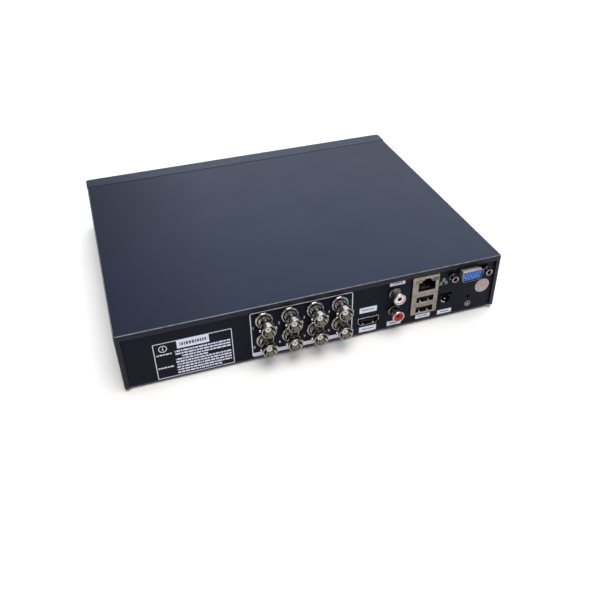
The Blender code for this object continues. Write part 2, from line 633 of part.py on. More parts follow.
def make_hdmi(silver, black_plastic):
    front, back = PANEL_Y + 0.6, 86.0
    half_width, half_height, wall = 7.4, 3.1, 0.5
    shell = solid("hdmi_shell", silver, prism(hdmi_outline(half_width, half_height), "Y", back, front))
    mouth = hdmi_outline(half_width - wall, half_height - wall)
    cut(shell, "mouth", prism(mouth, "Y", back + 1.0, front + 1))
    solid("hdmi_tongue", black_plastic,
          box(around(HDMI[0], 5.4), (back + 1.0 + GAP, front - 1.0), around(HDMI[1], 0.8)))


def make_dc_jack(black_plastic, nickel):
    x, z = DC
    front = PANEL_Y + 0.5
    bore_end, pin_radius, pin_tip = front - 10.5, 1.0, front - 0.8
    body_y, body_z = (front - 13.5, front), (ON_BOARD, z + 3.6)
    body = solid("dc_jack_body", black_plastic, box(around(x, 4.5), body_y, body_z))
    bevel(body, 0.5)
    cut(body, "bore", rod(DC, 3.1, 16, "Y", bore_end, front + 1))
    pin = [(0, bore_end + GAP), (pin_radius, bore_end + GAP), (pin_radius, pin_tip - 0.8),
           (pin_radius / 2, pin_tip), (0, pin_tip)]
    smooth(solid("dc_jack_pin", nickel, turned(pin, 12, DC)))


def make_vga(silver, blue_plastic, nickel, laminate):
    """VGA socket on the panel, its screw posts, and the upright board that it is soldered to."""
    x, z = VGA
    tip = PANEL_Y + VGA_REACH
    flange_y = (PANEL_BACK_Y - GAP - 0.8, PANEL_BACK_Y - GAP)
    shell = solid("vga_shell", silver, box(around(x, 15.2), flange_y, around(z, 5.8)))
    add(shell, "rim", prism(d_outline(8.15, 4.1, VGA), "Y", flange_y[1] - 0.4, tip))
    cut(shell, "mouth", prism(d_outline(7.75, 3.7, VGA), "Y", flange_y[0] - 1, tip + 1))
    spacing = VGA_SCREW_SPACING / 2
    sides = (x - spacing, x + spacing)
    cut(shell, "screw_holes", *[rod((side, z), 1.8, 10, "Y", *around(flange_y[0], 2)) for side in sides])

    face = tip - 0.7
    insert = solid("vga_insulator", blue_plastic, prism(d_outline(7.45, 3.4, VGA), "Y", 90.0, face))
    add(insert, "rear", box(around(x, 9.0), (88.5, flange_y[0] - GAP), around(z, 5.4)))
    pitch, stagger, row_pitch = 2.29, 0.57, 1.98
    rows = ((row_pitch, stagger), (0.0, -stagger), (-row_pitch, stagger))
    holes = [(x + pitch * (i - 2) + shift, z + row) for row, shift in rows for i in range(5)]
    cut(insert, "contacts", *[rod(hole, 0.5, 6, "Y", face - 3.0, face + 1) for hole in holes])

    screw, nut, thread = 1.4, 2.75, 1.5  # radii of a post
    post = [(0, -4.5), (screw, -4.5), (screw, GAP), (nut, GAP), (nut, VGA_REACH), (thread, VGA_REACH),
            (thread, 1.5), (0, 1.5)]
    places = [(side, PANEL_Y, z) for side in sides]
    first = solid("vga_standoff_1", nickel, turned(post, 6), at=places[0])
    copies(first, ["vga_standoff_2"], places[1:])
    solid("vga_riser_board", laminate, box(around(x, 9.2), (86.6, 88.2), (ON_BOARD, 42.0)))


def build():
    for obj in list(bpy.data.objects):
        bpy.data.objects.remove(obj)
    cover_paint = material("cover_paint", (0.045, 0.053, 0.075), 0.42, 0.1)
    panel_paint = material("panel_paint", (0.03, 0.028, 0.03), 0.5, 0.1)
    fascia_plastic = material("fascia_plastic", (0.04, 0.038, 0.038), 0.5)
    key_plastic = material("key_plastic", (0.035, 0.035, 0.038), 0.45)
    rubber = material("rubber", (0.02, 0.02, 0.02), 0.85)
    nickel = material("nickel", (0.62, 0.58, 0.53), 0.25, 1.0)
    silver = material("tin_plate", (0.66, 0.66, 0.66), 0.3, 1.0)
    aluminium = material("aluminium", (0.6, 0.6, 0.61), 0.4, 1.0)
    black_plastic = material("black_plastic", (0.015, 0.015, 0.016), 0.4)
    white_plastic = material("white_plastic", (0.8, 0.79, 0.76), 0.4)
    red_plastic = material("red_plastic", (0.6, 0.05, 0.06), 0.4)
    blue_plastic = material("blue_plastic", (0.05, 0.18, 0.55), 0.4)
    lens = material("lamp_lens", (0.5, 0.5, 0.5), 0.15)
    dark_lens = material("dark_lens", (0.02, 0.01, 0.015), 0.1)
    laminate = material("laminate", (0.03, 0.16, 0.07), 0.5)
    grey = material("cable_grey", (0.35, 0.35, 0.36), 0.5)

    make_tray(panel_paint)
    make_cover(cover_paint)
    make_fascia(fascia_plastic)
    make_feet(rubber)
    make_side_screws(nickel)
    make_main_board(laminate)
    make_heat_sink(aluminium)
    make_drive(aluminium)
    make_cables(grey)
    make_key_board(laminate)
    make_keys(key_plastic)
    make_lamps(lens, dark_lens)
    make_bnc(nickel, white_plastic, black_plastic)
    make_rca(silver, white_plastic, red_plastic, black_plastic)
    make_network_jack(silver, black_plastic)
    make_hdmi(silver, black_plastic)
    make_dc_jack(black_plastic, nickel)
    make_vga(silver, blue_plastic, nickel, laminate)


build()
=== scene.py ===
"""Looks of the eight-channel video recorder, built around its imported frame.

Lengths are in millimetres until a mesh is made. +X is to the right seen from the front, +Y is
towards the rear sockets and +Z is up, as in the frame.
"""

import random
from math import asin, cos, pi, radians, sin, tan

import bmesh
import bpy
from mathutils import Matrix, Quaternion, Vector


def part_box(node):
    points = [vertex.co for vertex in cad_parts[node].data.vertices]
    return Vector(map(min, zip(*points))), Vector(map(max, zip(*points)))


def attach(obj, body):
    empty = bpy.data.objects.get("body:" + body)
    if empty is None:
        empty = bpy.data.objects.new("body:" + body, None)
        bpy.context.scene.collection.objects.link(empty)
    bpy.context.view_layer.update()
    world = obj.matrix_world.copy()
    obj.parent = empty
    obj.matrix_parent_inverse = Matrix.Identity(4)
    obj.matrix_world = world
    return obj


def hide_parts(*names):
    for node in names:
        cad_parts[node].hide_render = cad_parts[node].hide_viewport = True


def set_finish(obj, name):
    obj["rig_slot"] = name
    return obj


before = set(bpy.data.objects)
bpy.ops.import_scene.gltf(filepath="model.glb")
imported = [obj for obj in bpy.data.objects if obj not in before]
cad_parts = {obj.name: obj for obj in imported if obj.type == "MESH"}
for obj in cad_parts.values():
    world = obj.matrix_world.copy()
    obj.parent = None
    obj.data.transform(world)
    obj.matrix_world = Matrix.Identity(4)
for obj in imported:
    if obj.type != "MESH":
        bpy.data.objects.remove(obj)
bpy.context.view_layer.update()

MM = 0.001


def node_box(node):
    low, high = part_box(node)
    return low / MM, high / MM


def node_centre(node):
    low, high = node_box(node)
    return (low + high) / 2


# ---- places read from the frame
COVER_LOW, COVER_HIGH = node_box("top_cover")
SIDE = COVER_HIGH.x
TOP = COVER_HIGH.z
BOTTOM = COVER_LOW.z
REAR = COVER_HIGH.y
COVER_FRONT = COVER_LOW.y
TRAY_LOW, TRAY_HIGH = node_box("chassis_tray")
PANEL = TRAY_HIGH.y
FRONT = node_box("front_fascia")[0].y
FASCIA_BACK = COVER_FRONT - 0.5

SHEET = 1
SIDE_LIP = 3.2
TOP_LIP = 3.9
INK_THICK = 0.05
INK_ROOT = 0.1  # how deep a print is set into the face below it
CASE_BODY = "case"

BNC = [node_centre(f"bnc_insulator_{n}") for n in range(1, 9)]
RCA = [node_centre("rca_insert_top"), node_centre("rca_insert_bottom")]
JACK_LOW, JACK_HIGH = node_box("lan_usb_shell")
LAN_X = -73.9
USB_X = -73.3
USB_ROWS = (21, 12.7)
HDMI = node_centre("hdmi_tongue")
DC = node_centre("dc_jack_pin")
VGA = node_centre("vga_shell")
POSTS = [node_centre("vga_standoff_1"), node_centre("vga_standoff_2")]
RESET = (-107.1, 14)
BLANK = (HDMI.x + 1.1, 34.1)
FEET = [node_centre(f"foot_{n}") for n in range(1, 5)]
OK_KEY = node_centre("ok_button")
MENU_KEY = node_centre("menu_button")
ESC_KEY = node_centre("esc_button")
LAMPS = [node_centre(f"led_{n}") for n in (1, 2, 3)]
EYE_PLACE = node_centre("ir_window")


# ---- shapes: (points, faces)
def placed(axis, a, b, along):
    return {"X": (along, a, b), "Y": (a, along, b), "Z": (a, b, along)}[axis]


def skin(outlines, closed=False):
    """The surface through outlines, each of 3-D points or a single point: a loop of them if closed,
    or a solid with flat ends."""
    points, rings = [], []
    for outline in outlines:
        rings.append(range(len(points), len(points) + len(outline)))
        points += outline
    faces = [] if closed else [tuple(ring) for ring in (rings[0], rings[-1]) if len(ring) > 1]
    sides = max(len(ring) for ring in rings)
    for ring, following in zip(rings, rings[1:] + rings[:1] if closed else rings[1:]):
        for i in range(sides):
            j = (i + 1) % sides
            corners = [ring[i % len(ring)], ring[j % len(ring)]]
            corners += [following[j % len(following)], following[i % len(following)]]
            faces.append(tuple(dict.fromkeys(corners)))
    return points, faces


def stack(levels, axis="Y"):
    """A solid through outlines of equal length, each an (outline, distance along the axis) pair."""
    return skin([[placed(axis, a, b, along) for a, b in outline] for outline, along in levels])


def prism(outline, low, high, axis="Y"):
    return stack([(outline, low), (outline, high)], axis)


def rectangle(a0, a1, b0, b1):
    return [(a0, b0), (a1, b0), (a1, b1), (a0, b1)]


def bar(x, z, half_x, half_z):
    """A rectangle given by its middle."""
    return rectangle(*span(x, half_x), *span(z, half_z))


def box(xs, ys, zs):
    return prism(rectangle(*xs, *ys), *zs, "Z")


def span(centre, half):
    return centre - half, centre + half


def arc(centre, radius, first, last, steps):
    """Points on a circle from one angle to another, both included."""
    turns = [first + (last - first) * i / steps for i in range(steps + 1)]
    return [(centre[0] + radius * cos(t), centre[1] + radius * sin(t)) for t in turns]


def circle(radius, sides, centre, turn=0):
    return arc(centre, radius, turn, turn + 2 * pi, sides)[:-1]


def rod(centre, radius, sides, low, high, axis="Y"):
    return prism(circle(radius, sides, centre), low, high, axis)


def rods(places, radius, sides, ys):
    return [rod((place.x, place.z), radius, sides, *ys) for place in places]


def flared(centre, radius, sides, face, depth, ease, out=-1):
    """A cutter for a hole into a face at y = face that looks along out, with a chamfered mouth."""
    levels = [(radius + ease, 1), (radius + ease, 0), (radius, -ease), (radius, -depth)]
    return stack([(circle(r, sides, centre), face + out * y) for r, y in levels[::-out]])


def turned(profile, sides, centre=(0, 0), start=0, axis="Y"):
    """A solid turned about a line along an axis. The profile is (radius, distance along) points: a
    closed loop for a ring, or one that starts and ends on the line for a solid piece."""
    rings = []
    for radius, along in profile:
        outline = circle(radius, sides, centre) if radius > 0 else [centre]
        rings.append([placed(axis, a, b, start + along) for a, b in outline])
    return skin(rings, closed=profile[0][0] > 0)


def rounded(corners, steps):
    """An outline from (a, b, radius) corners, with an arc at each corner that has a radius."""
    outline = []
    for i, (a, b, radius) in enumerate(corners):
        if radius <= 0:
            outline.append((a, b))
            continue
        here = Vector((a, b))
        to_last = (Vector(corners[i - 1][:2]) - here).normalized()
        to_next = (Vector(corners[(i + 1) % len(corners)][:2]) - here).normalized()
        half = to_last.angle(to_next) / 2
        centre = here + (to_last + to_next).normalized() * (radius / sin(half))
        start = here + to_last * (radius / tan(half)) - centre
        end = here + to_next * (radius / tan(half)) - centre
        sweep = start.angle_signed(end)
        for step in range(steps + 1):
            turn = -sweep * step / steps
            outline.append((centre.x + start.x * cos(turn) - start.y * sin(turn),
                            centre.y + start.x * sin(turn) + start.y * cos(turn)))
    return outline


def rounded_box(a0, a1, b0, b1, radius):
    return rounded([(a, b, radius) for a, b in rectangle(a0, a1, b0, b1)], 6)


def plate(xs, zs, radius, ys):
    """An upright plate with rounded corners."""
    return prism(rounded_box(*xs, *zs, radius), *ys)


def mirrored(corners, middle, steps):
    """An outline from the right half of its (distance from the middle, height, radius) corners."""
    right = [(middle + a, b, radius) for a, b, radius in corners]
    left = [(middle - a, b, radius) for a, b, radius in reversed(corners)]
    return rounded(right + left, steps)


def back_from(tip, profile):
    """A profile given by its radii and its distances back from a tip."""
    return [(radius, tip - back) for radius, back in profile]


def side_view(front, points):
    """An outline (y, z) from its depths behind a socket's front, and its heights."""
    return [(front - depth, z) for depth, z in points]


def arc_band(centre, inner, outer, first, last, steps):
    """The outline of a piece of a ring between two angles in degrees."""
    first, last = radians(first), radians(last)
    return arc(centre, outer, first, last, steps) + arc(centre, inner, last, first, steps)


def sector(inner, outer, half_gap, facing):
    """A quarter of a ring around the OK key, its straight sides parallel to the diagonals."""
    outline = []
    for radius, way in ((outer, 1), (inner, -1)):
        spread = way * (pi / 4 - asin(half_gap / radius))
        outline += arc((OK_KEY.x, OK_KEY.z), radius, facing - spread, facing + spread, 20)
    return outline


def d_outline(half_width, half_height):
    """A VGA socket's D shape: wide at the top, its sides leaning in by 10 degrees."""
    lean = 2 * half_height * tan(radians(10))
    corners = [(half_width, VGA.z + half_height, 1.6), (half_width - lean, VGA.z - half_height, 1.6)]
    return mirrored(corners, VGA.x, 6)


# ---- pieces
def new_object(name, data):
    obj = bpy.data.objects.new(name, data)
    bpy.context.scene.collection.objects.link(obj)
    return obj


def solid(name, *shapes):
    bm = bmesh.new()
    for points, faces in shapes:
        verts = [bm.verts.new(Vector(p) * MM) for p in points]
        for face in faces:
            bm.faces.new([verts[i] for i in face])
    bmesh.ops.recalc_face_normals(bm, faces=bm.faces)
    mesh = bpy.data.meshes.new(name)
    bm.to_mesh(mesh)
    bm.free()
    return new_object(name, mesh)


def evaluated_mesh(obj):
    return bpy.data.meshes.new_from_object(obj.evaluated_get(bpy.context.evaluated_depsgraph_get()))


def apply_modifiers(obj):
    finished = evaluated_mesh(obj)
    obj.modifiers.clear()
    obj.data = finished


def combine(obj, operation, *shapes):
    """Cuts the shapes out of an object, or adds them to it, for good."""
    tool = solid("tool", *shapes)
    boolean = obj.modifiers.new("boolean", "BOOLEAN")
    boolean.operation = operation
    boolean.object = tool
    boolean.solver = "EXACT"
    apply_modifiers(obj)
    bpy.data.objects.remove(tool)


def cut(obj, *shapes):
    combine(obj, "DIFFERENCE", *shapes)


def add(obj, *shapes):
    combine(obj, "UNION", *shapes)


def soften(obj, width, segments=2, angle=35):
    """Rounds an object's sharp edges."""
    mod = obj.modifiers.new("bevel", "BEVEL")
    mod.width = width * MM
    mod.segments = segments
    mod.limit_method = "ANGLE"
    mod.angle_limit = radians(angle)
    apply_modifiers(obj)


def finish(obj, material, slot=None, node=None, body=CASE_BODY, angle=32):
    """Shades a piece, gives it its material and its slot if it has one, and puts it on its body."""
    obj.data.materials.clear()
    obj.data.materials.append(material)
    obj.data.shade_smooth()
    obj.data.set_sharp_from_angle(angle=radians(angle))
    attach(obj, body)
    if slot is not None:
        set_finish(obj, slot)
    if node is not None:
        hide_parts(node)


def piece(name, shapes, material, slot=None, **rest):
    """A piece that is finished as soon as it has its shapes."""
    finish(solid(name, *shapes), material, slot, **rest)


def copy_pieces(places, *pieces):
    """Copies what stands at the first place to the others. Each piece is a pair: the object, whose
    name ends in 1, and the first part of the name of the nodes that it stands for, or None."""
    for number, place in enumerate(places[1:], 2):
        for first, node in pieces:
            copy = new_object(f"{first.name[:-1]}{number}", first.data.copy())
            copy.data.transform(Matrix.Translation((place - places[0]) * MM))
            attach(copy, CASE_BODY)
            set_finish(copy, first["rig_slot"])
            if node is not None:
                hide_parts(f"{node}_{number}")


# ---- materials
def set_input(socket, value):
    """Gives a node's input a value, or links it to another node's output."""
    if isinstance(value, bpy.types.NodeSocket):
        socket.id_data.links.new(value, socket)
    else:
        socket.default_value = (*value, 1) if socket.type == "RGBA" else value


def set_inputs(node, **inputs):
    for name, value in inputs.items():
        set_input(node.inputs[name.replace("_", " ")], value)
    return node


def add_node(tree, kind, **inputs):
    return set_inputs(tree.nodes.new(f"ShaderNode{kind}"), **inputs)


class Nodes:
    """A material's nodes, with short calls for those that the finishes share."""

    def __init__(self, name, **inputs):
        self.material = bpy.data.materials.new(name)
        self.material.use_nodes = True
        self.tree = self.material.node_tree
        self.set(**inputs)
        self.place = self.add("TexCoord").outputs["Object"]

    def set(self, **inputs):
        """Sets inputs of the material's shader."""
        set_inputs(self.tree.nodes["Principled BSDF"], **inputs)

    def add(self, kind, **inputs):
        return add_node(self.tree, kind, **inputs)

    def noise(self, size_mm, detail, stretch=(1, 1, 1)):
        """Noise with features of about a size, longer along an axis with a small stretch."""
        place = self.add("Mapping", Vector=self.place, Scale=stretch).outputs["Vector"]
        return self.add("TexNoise", Vector=place, Scale=1 / (size_mm * MM), Detail=detail).outputs["Fac"]

    def spread(self, source, low, high, first=0.35, last=0.65):
        """A noise's middle range, spread between two values."""
        return self.add("MapRange", Value=source, From_Min=first, From_Max=last, To_Min=low,
                        To_Max=high).outputs["Result"]

    def blend(self, factor, first, second):
        """A colour between two, each a colour or another node's output."""
        node = self.add("Mix")
        node.data_type = "RGBA"
        set_input(node.inputs["Factor"], factor)
        for name, value in (("A", first), ("B", second)):
            set_input(next(s for s in node.inputs if s.name == name and s.type == "RGBA"), value)
        return next(s for s in node.outputs if s.type == "RGBA")

    def mottle(self, size_mm, detail, first, second):
        """Two colours blended by a noise."""
        return self.blend(self.spread(self.noise(size_mm, detail), 0, 1), first, second)

    def facing_up(self, start, end, low=0, high=1):
        """From low to high as the upward part of the surface's direction goes from start to end."""
        normal = self.add("NewGeometry").outputs["Normal"]
        return self.spread(self.add("SeparateXYZ", Vector=normal).outputs["Z"], low, high, start, end)

    def fold_mask(self, breaks, least=0.55):
        """1 where a surface faces up and sideways at once, as on a fold, broken up by a noise: where a
        painted highlight is put.
        """
        fold = self.product(self.facing_up(0.5, 0.65), self.facing_up(0.85, 0.95, 1, 0))
        return self.product(fold, self.spread(breaks, least, 1, 0.35, 0.6))

    def product(self, first, second):
        node = self.add("Math")
        node.operation = "MULTIPLY"
        set_input(node.inputs[0], first)
        set_input(node.inputs[1], second)
        return node.outputs[0]

    def bump(self, height, depth_mm, **after):
        normal = self.add("Bump", Distance=depth_mm * MM, Height=height, **after).outputs["Normal"]
        self.set(Normal=normal)
        return normal


def powder_coat(name, colour, second, roughness, level, sheen, upright=None, painted_highlight=None):
    """Satin powder coat: fine orange peel and a slow drift of colour. A cover also has painted light:
    its upright faces get a different painted reflection than its upward ones, and its folds a painted
    highlight."""
    n = Nodes(name, Roughness=roughness, Specular_IOR_Level=level, Specular_Tint=sheen)
    paint = n.mottle(60, 3, colour, second)
    if painted_highlight is not None:
        # Painted reflection: upright faces take the warmer upright colour and upward faces the navy
        # mottle. Then a painted highlight along the folds.
        paint = n.blend(n.facing_up(0.35, 0.85), upright, paint)
        paint = n.blend(n.fold_mask(n.noise(4, 4)), paint, painted_highlight)
    n.set(Base_Color=paint)
    n.set(Roughness=n.spread(n.noise(35, 3), roughness - 0.015, roughness + 0.02))
    peel = n.bump(n.noise(0.9, 2), 0.008)
    n.bump(n.noise(0.28, 1), 0.004, Normal=peel)
    return n.material


def moulded(name, colour, second, roughness, grain_mm=0.5, depth_mm=0.02, level=0.5, sheen=(1, 1, 1),
            top=None, painted_highlight=None):
    """Moulded plastic with a spark-eroded grain. A fascia also has painted light: a bluer painted
    reflection on its upward faces and a painted highlight along its rounded edges and ledge."""
    n = Nodes(name, Roughness=roughness, Specular_IOR_Level=level, Specular_Tint=sheen)
    plastic = n.mottle(9, 3, colour, second)
    if top is not None:
        # Painted reflection: upward faces take the bluer top colour. Then a painted highlight along the
        # rounded edges and the ledge.
        plastic = n.blend(n.facing_up(0.35, 0.85), plastic, top)
        plastic = n.blend(n.fold_mask(n.noise(0.9, 3), 0.3), plastic, painted_highlight)
    n.set(Base_Color=plastic)
    n.set(Roughness=n.spread(n.noise(3, 3), roughness - 0.035, roughness + 0.035))
    n.bump(n.noise(grain_mm, 2), depth_mm)
    return n.material


def plated(name, colour, second, roughness, scratch=(1, 1, 1), depth_mm=0.003):
    """Plated metal with faint cloudiness and fine scratches along one direction."""
    n = Nodes(name, Roughness=roughness, Metallic=1)
    n.set(Base_Color=n.mottle(4, 3, colour, second))
    n.set(Roughness=n.spread(n.noise(1.5, 4, scratch), roughness * 0.7, roughness * 1.4))
    n.bump(n.noise(0.6, 3, scratch), depth_mm)
    return n.material


def printed(name, colour, second):
    """Screen-printed ink: nearly even, with a slightly broken surface."""
    n = Nodes(name, Roughness=0.55)
    n.set(Base_Color=n.mottle(1.2, 3, colour, second))
    n.bump(n.noise(0.3, 1), 0.004)
    return n.material


def circuit_board(name):
    """Solder mask over copper tracks, seen as slightly lighter lines in two directions."""
    n = Nodes(name, Roughness=0.35)
    tracks = n.spread(n.noise(3, 0, (1, 0.06, 1)), 0, 1, 0.56, 0.58)
    across = n.spread(n.noise(4, 0, (0.06, 1, 1)), 0, 1, 0.58, 0.6)
    mask = n.blend(tracks, (0.012, 0.085, 0.03), (0.03, 0.19, 0.07))
    n.set(Base_Color=n.blend(across, mask, (0.03, 0.17, 0.07)))
    n.bump(tracks, 0.03)
    return n.material


def rubber(name):
    n = Nodes(name, Roughness=0.8, Specular_IOR_Level=0.3)
    n.set(Base_Color=n.mottle(2, 3, (0.012, 0.012, 0.012), (0.026, 0.026, 0.027)))
    n.bump(n.noise(0.4, 2), 0.02)
    return n.material


def paper(name):
    """Round seal label: greyish paper with a faint mottle."""
    n = Nodes(name, Roughness=0.6)
    mottle = n.mottle(1.6, 3, (0.42, 0.35, 0.34), (0.3, 0.245, 0.24))
    n.set(Base_Color=n.blend(n.spread(n.noise(0.5, 2), 0, 0.5), mottle, (0.45, 0.4, 0.4)))
    n.bump(n.noise(0.35, 2), 0.01)
    return n.material


def lens(name, colour, second):
    n = Nodes(name, Roughness=0.12, Specular_IOR_Level=0.6)
    n.set(Base_Color=n.mottle(2, 1, colour, second))
    n.set(Roughness=n.spread(n.noise(1, 2), 0.08, 0.18))
    return n.material


BLUE_SHEEN = (0.62, 0.75, 1)
# The cover's navy on upward faces and its warmer upright colour are painted reflections. Its light fold
# colour is a painted highlight.
COVER = powder_coat("satin_cover", (0.0065, 0.008, 0.019), (0.0085, 0.01, 0.023), 0.4, 0.28, BLUE_SHEEN,
                    upright=(0.0085, 0.0055, 0.0065), painted_highlight=(0.19, 0.19, 0.215))
PANEL_PAINT = powder_coat("satin_panel", (0.004, 0.0035, 0.0075), (0.0055, 0.005, 0.0095), 0.45, 0.12,
                          BLUE_SHEEN)
# The fascia's top colour is a painted reflection on its upward faces. Its light edge colour is a painted
# highlight on the rounded top edge and the recess ledge.
FASCIA = moulded("fascia_plastic", (0.0125, 0.0105, 0.0105), (0.016, 0.0135, 0.0135), 0.36, 0.45, 0.05,
                 0.3, (0.85, 0.88, 1), top=(0.0065, 0.01, 0.026), painted_highlight=(0.115, 0.135, 0.172))
KEYS = moulded("key_plastic", (0.0045, 0.0045, 0.0055), (0.0065, 0.0065, 0.0075), 0.3, 0.7, 0.012, 0.2)
NICKEL = plated("bright_nickel", (0.38, 0.355, 0.33), (0.31, 0.29, 0.27), 0.12, (1, 0.2, 1), 0.002)
TIN = plated("tin_plate", (0.285, 0.25, 0.225), (0.235, 0.205, 0.185), 0.33, (1, 1, 0.15))
ALUMINIUM = plated("satin_aluminium", (0.62, 0.62, 0.63), (0.54, 0.54, 0.56), 0.42, (0.15, 1, 1))
GOLD = plated("contact_gold", (0.85, 0.62, 0.28), (0.72, 0.5, 0.2), 0.25, (1, 0.2, 1))
SHELL_STEEL = plated("bright_steel", (0.48, 0.48, 0.48), (0.42, 0.42, 0.42), 0.25, (1, 0.2, 1), 0.001)
WHITE = moulded("socket_white", (0.8, 0.79, 0.76), (0.72, 0.71, 0.68), 0.35, 0.8, 0.006)
RED = moulded("socket_red", (0.46, 0.022, 0.014), (0.37, 0.016, 0.011), 0.35, 0.8, 0.006, 0.25)
BLUE = moulded("socket_blue", (0.035, 0.14, 0.48), (0.025, 0.11, 0.4), 0.4, 0.8, 0.008)
BLACK = moulded("socket_black", (0.004, 0.004, 0.0055), (0.0055, 0.0055, 0.0075), 0.42, 0.7, 0.01, 0.12,
                BLUE_SHEEN)
DARK_RED = moulded("socket_dark_red", (0.22, 0.02, 0.025), (0.15, 0.012, 0.016), 0.4, 0.8, 0.006)
INK = printed("print_ink", (0.66, 0.68, 0.8), (0.57, 0.59, 0.72))
DARK_INK = printed("dark_ink", (0.05, 0.05, 0.09), (0.08, 0.08, 0.13))
FAINT_INK = printed("faint_ink", (0.42, 0.42, 0.52), (0.34, 0.34, 0.44))
LEGEND_INK = printed("legend_ink", (0.42, 0.41, 0.42), (0.34, 0.33, 0.34))
BOARD = circuit_board("solder_mask")
RUBBER = rubber("foot_rubber")
PAPER = paper("seal_paper")
PAPER_INK = printed("seal_ink", (0.27, 0.21, 0.21), (0.34, 0.27, 0.27))
LINK_LIGHT = lens("link_light", (0.15, 0.18, 0.03), (0.11, 0.13, 0.022))
DATA_LIGHT = lens("data_light", (0.05, 0.055, 0.014), (0.035, 0.04, 0.01))
EYE = lens("remote_eye", (0.012, 0.006, 0.01), (0.02, 0.008, 0.014))
LAMP = lens("lamp_lens", (0.22, 0.23, 0.22), (0.3, 0.31, 0.3))
CABLE = moulded("cable_grey", (0.3, 0.3, 0.31), (0.36, 0.36, 0.37), 0.5, 1.2, 0.02)


# ---- case
def make_cover():
    """Top and sides folded from one sheet, with lips folded in around the rear panel."""
    spare = 8  # cut off again at the front and the bottom, so that only the real folds are round
    start, low = COVER_FRONT - spare, BOTTOM - spare
    cover = solid("cover_sheet", box(span(0, SIDE), (start, REAR), (low, TOP)))
    soften(cover, 1.2, 5)
    wide = span(0, SIDE + 1)
    cut(cover, box(wide, (start - 1, COVER_FRONT), (low - 1, TOP + 1)))
    cut(cover, box(wide, (COVER_FRONT - 1, REAR + 1), (low, BOTTOM)))
    cut(cover, box(span(0, SIDE - SHEET), (COVER_FRONT - 1, REAR - SHEET), (BOTTOM - 1, TOP - SHEET)))
    inner_x, inner_z = SIDE - SIDE_LIP, TOP - TOP_LIP
    cut(cover, box(span(0, inner_x), (REAR - SHEET - 1, REAR + 1), (BOTTOM - 1, inner_z)))
    screw = node_centre("cover_screw_left")
    slots, mitres = [], []
    for side in (-1, 1):
        wall = sorted((side * (SIDE - 3), side * (SIDE + 1)))
        slots += [prism(rounded_box(*span(6 * i - 62, 1.25), 16, 32, 1.24), *wall, "X")
                  for i in range(10)]
        slots.append(rod((screw.y, screw.z), 3.3, 32, *wall, "X"))
        line = [(inner_x - 0.1, inner_z + 0.1), (inner_x + 0.1, inner_z - 0.1),
                (SIDE + 0.6, TOP + 0.1), (SIDE + 0.4, TOP + 0.3)]
        mitres.append(prism([(side * x, z) for x, z in line], REAR - 0.4, REAR + 1))
    cut(cover, *slots)
    bright_edge = [(COVER_FRONT + y, TOP + z) for y, z in ((-0.1, -0.45), (-0.1, 0.1), (0.45, 0.1))]
    cut(cover, prism(bright_edge, *wide, "X"), *mitres)
    finish(cover, COVER, "cover_paint", "top_cover")


def fascia_outline(front_inset, foot_inset):
    """Side view of the fascia (y, z), its front face and its underside drawn in at the ends."""
    front, bottom = FRONT + front_inset, BOTTOM + foot_inset
    corners = [(FASCIA_BACK, TOP, 0), (FASCIA_BACK, bottom, 0), (front, bottom, 1.5), (front, TOP, 5)]
    return rounded(corners, 9)


RECESS_X = -1.5
RECESS_DEPTH = 2.4
RECESS_TOP = 41.7
RECESS_LOW = 27.8
STRIP_TOP = 11.2
STRIP_DEPTH = 3
HOLE_PITCH = 3.78
DIMPLE_DEPTH = 0.8


def recess_outline(ease):
    """The recess along the fascia, its sides and its lower ledge eased outwards."""
    return mirrored([(74 + ease, RECESS_TOP, 0), (58 + 0.4 * ease, RECESS_LOW - ease, 9)], RECESS_X, 10)


def dimple_row(count, z, radius, surface):
    """Blind round holes in a row, centred on the recess."""
    first = RECESS_X - HOLE_PITCH * (count - 1) / 2
    reach = (surface - 1, surface + DIMPLE_DEPTH)
    return [rod((first + HOLE_PITCH * i, z), radius, 12, *reach) for i in range(count)]


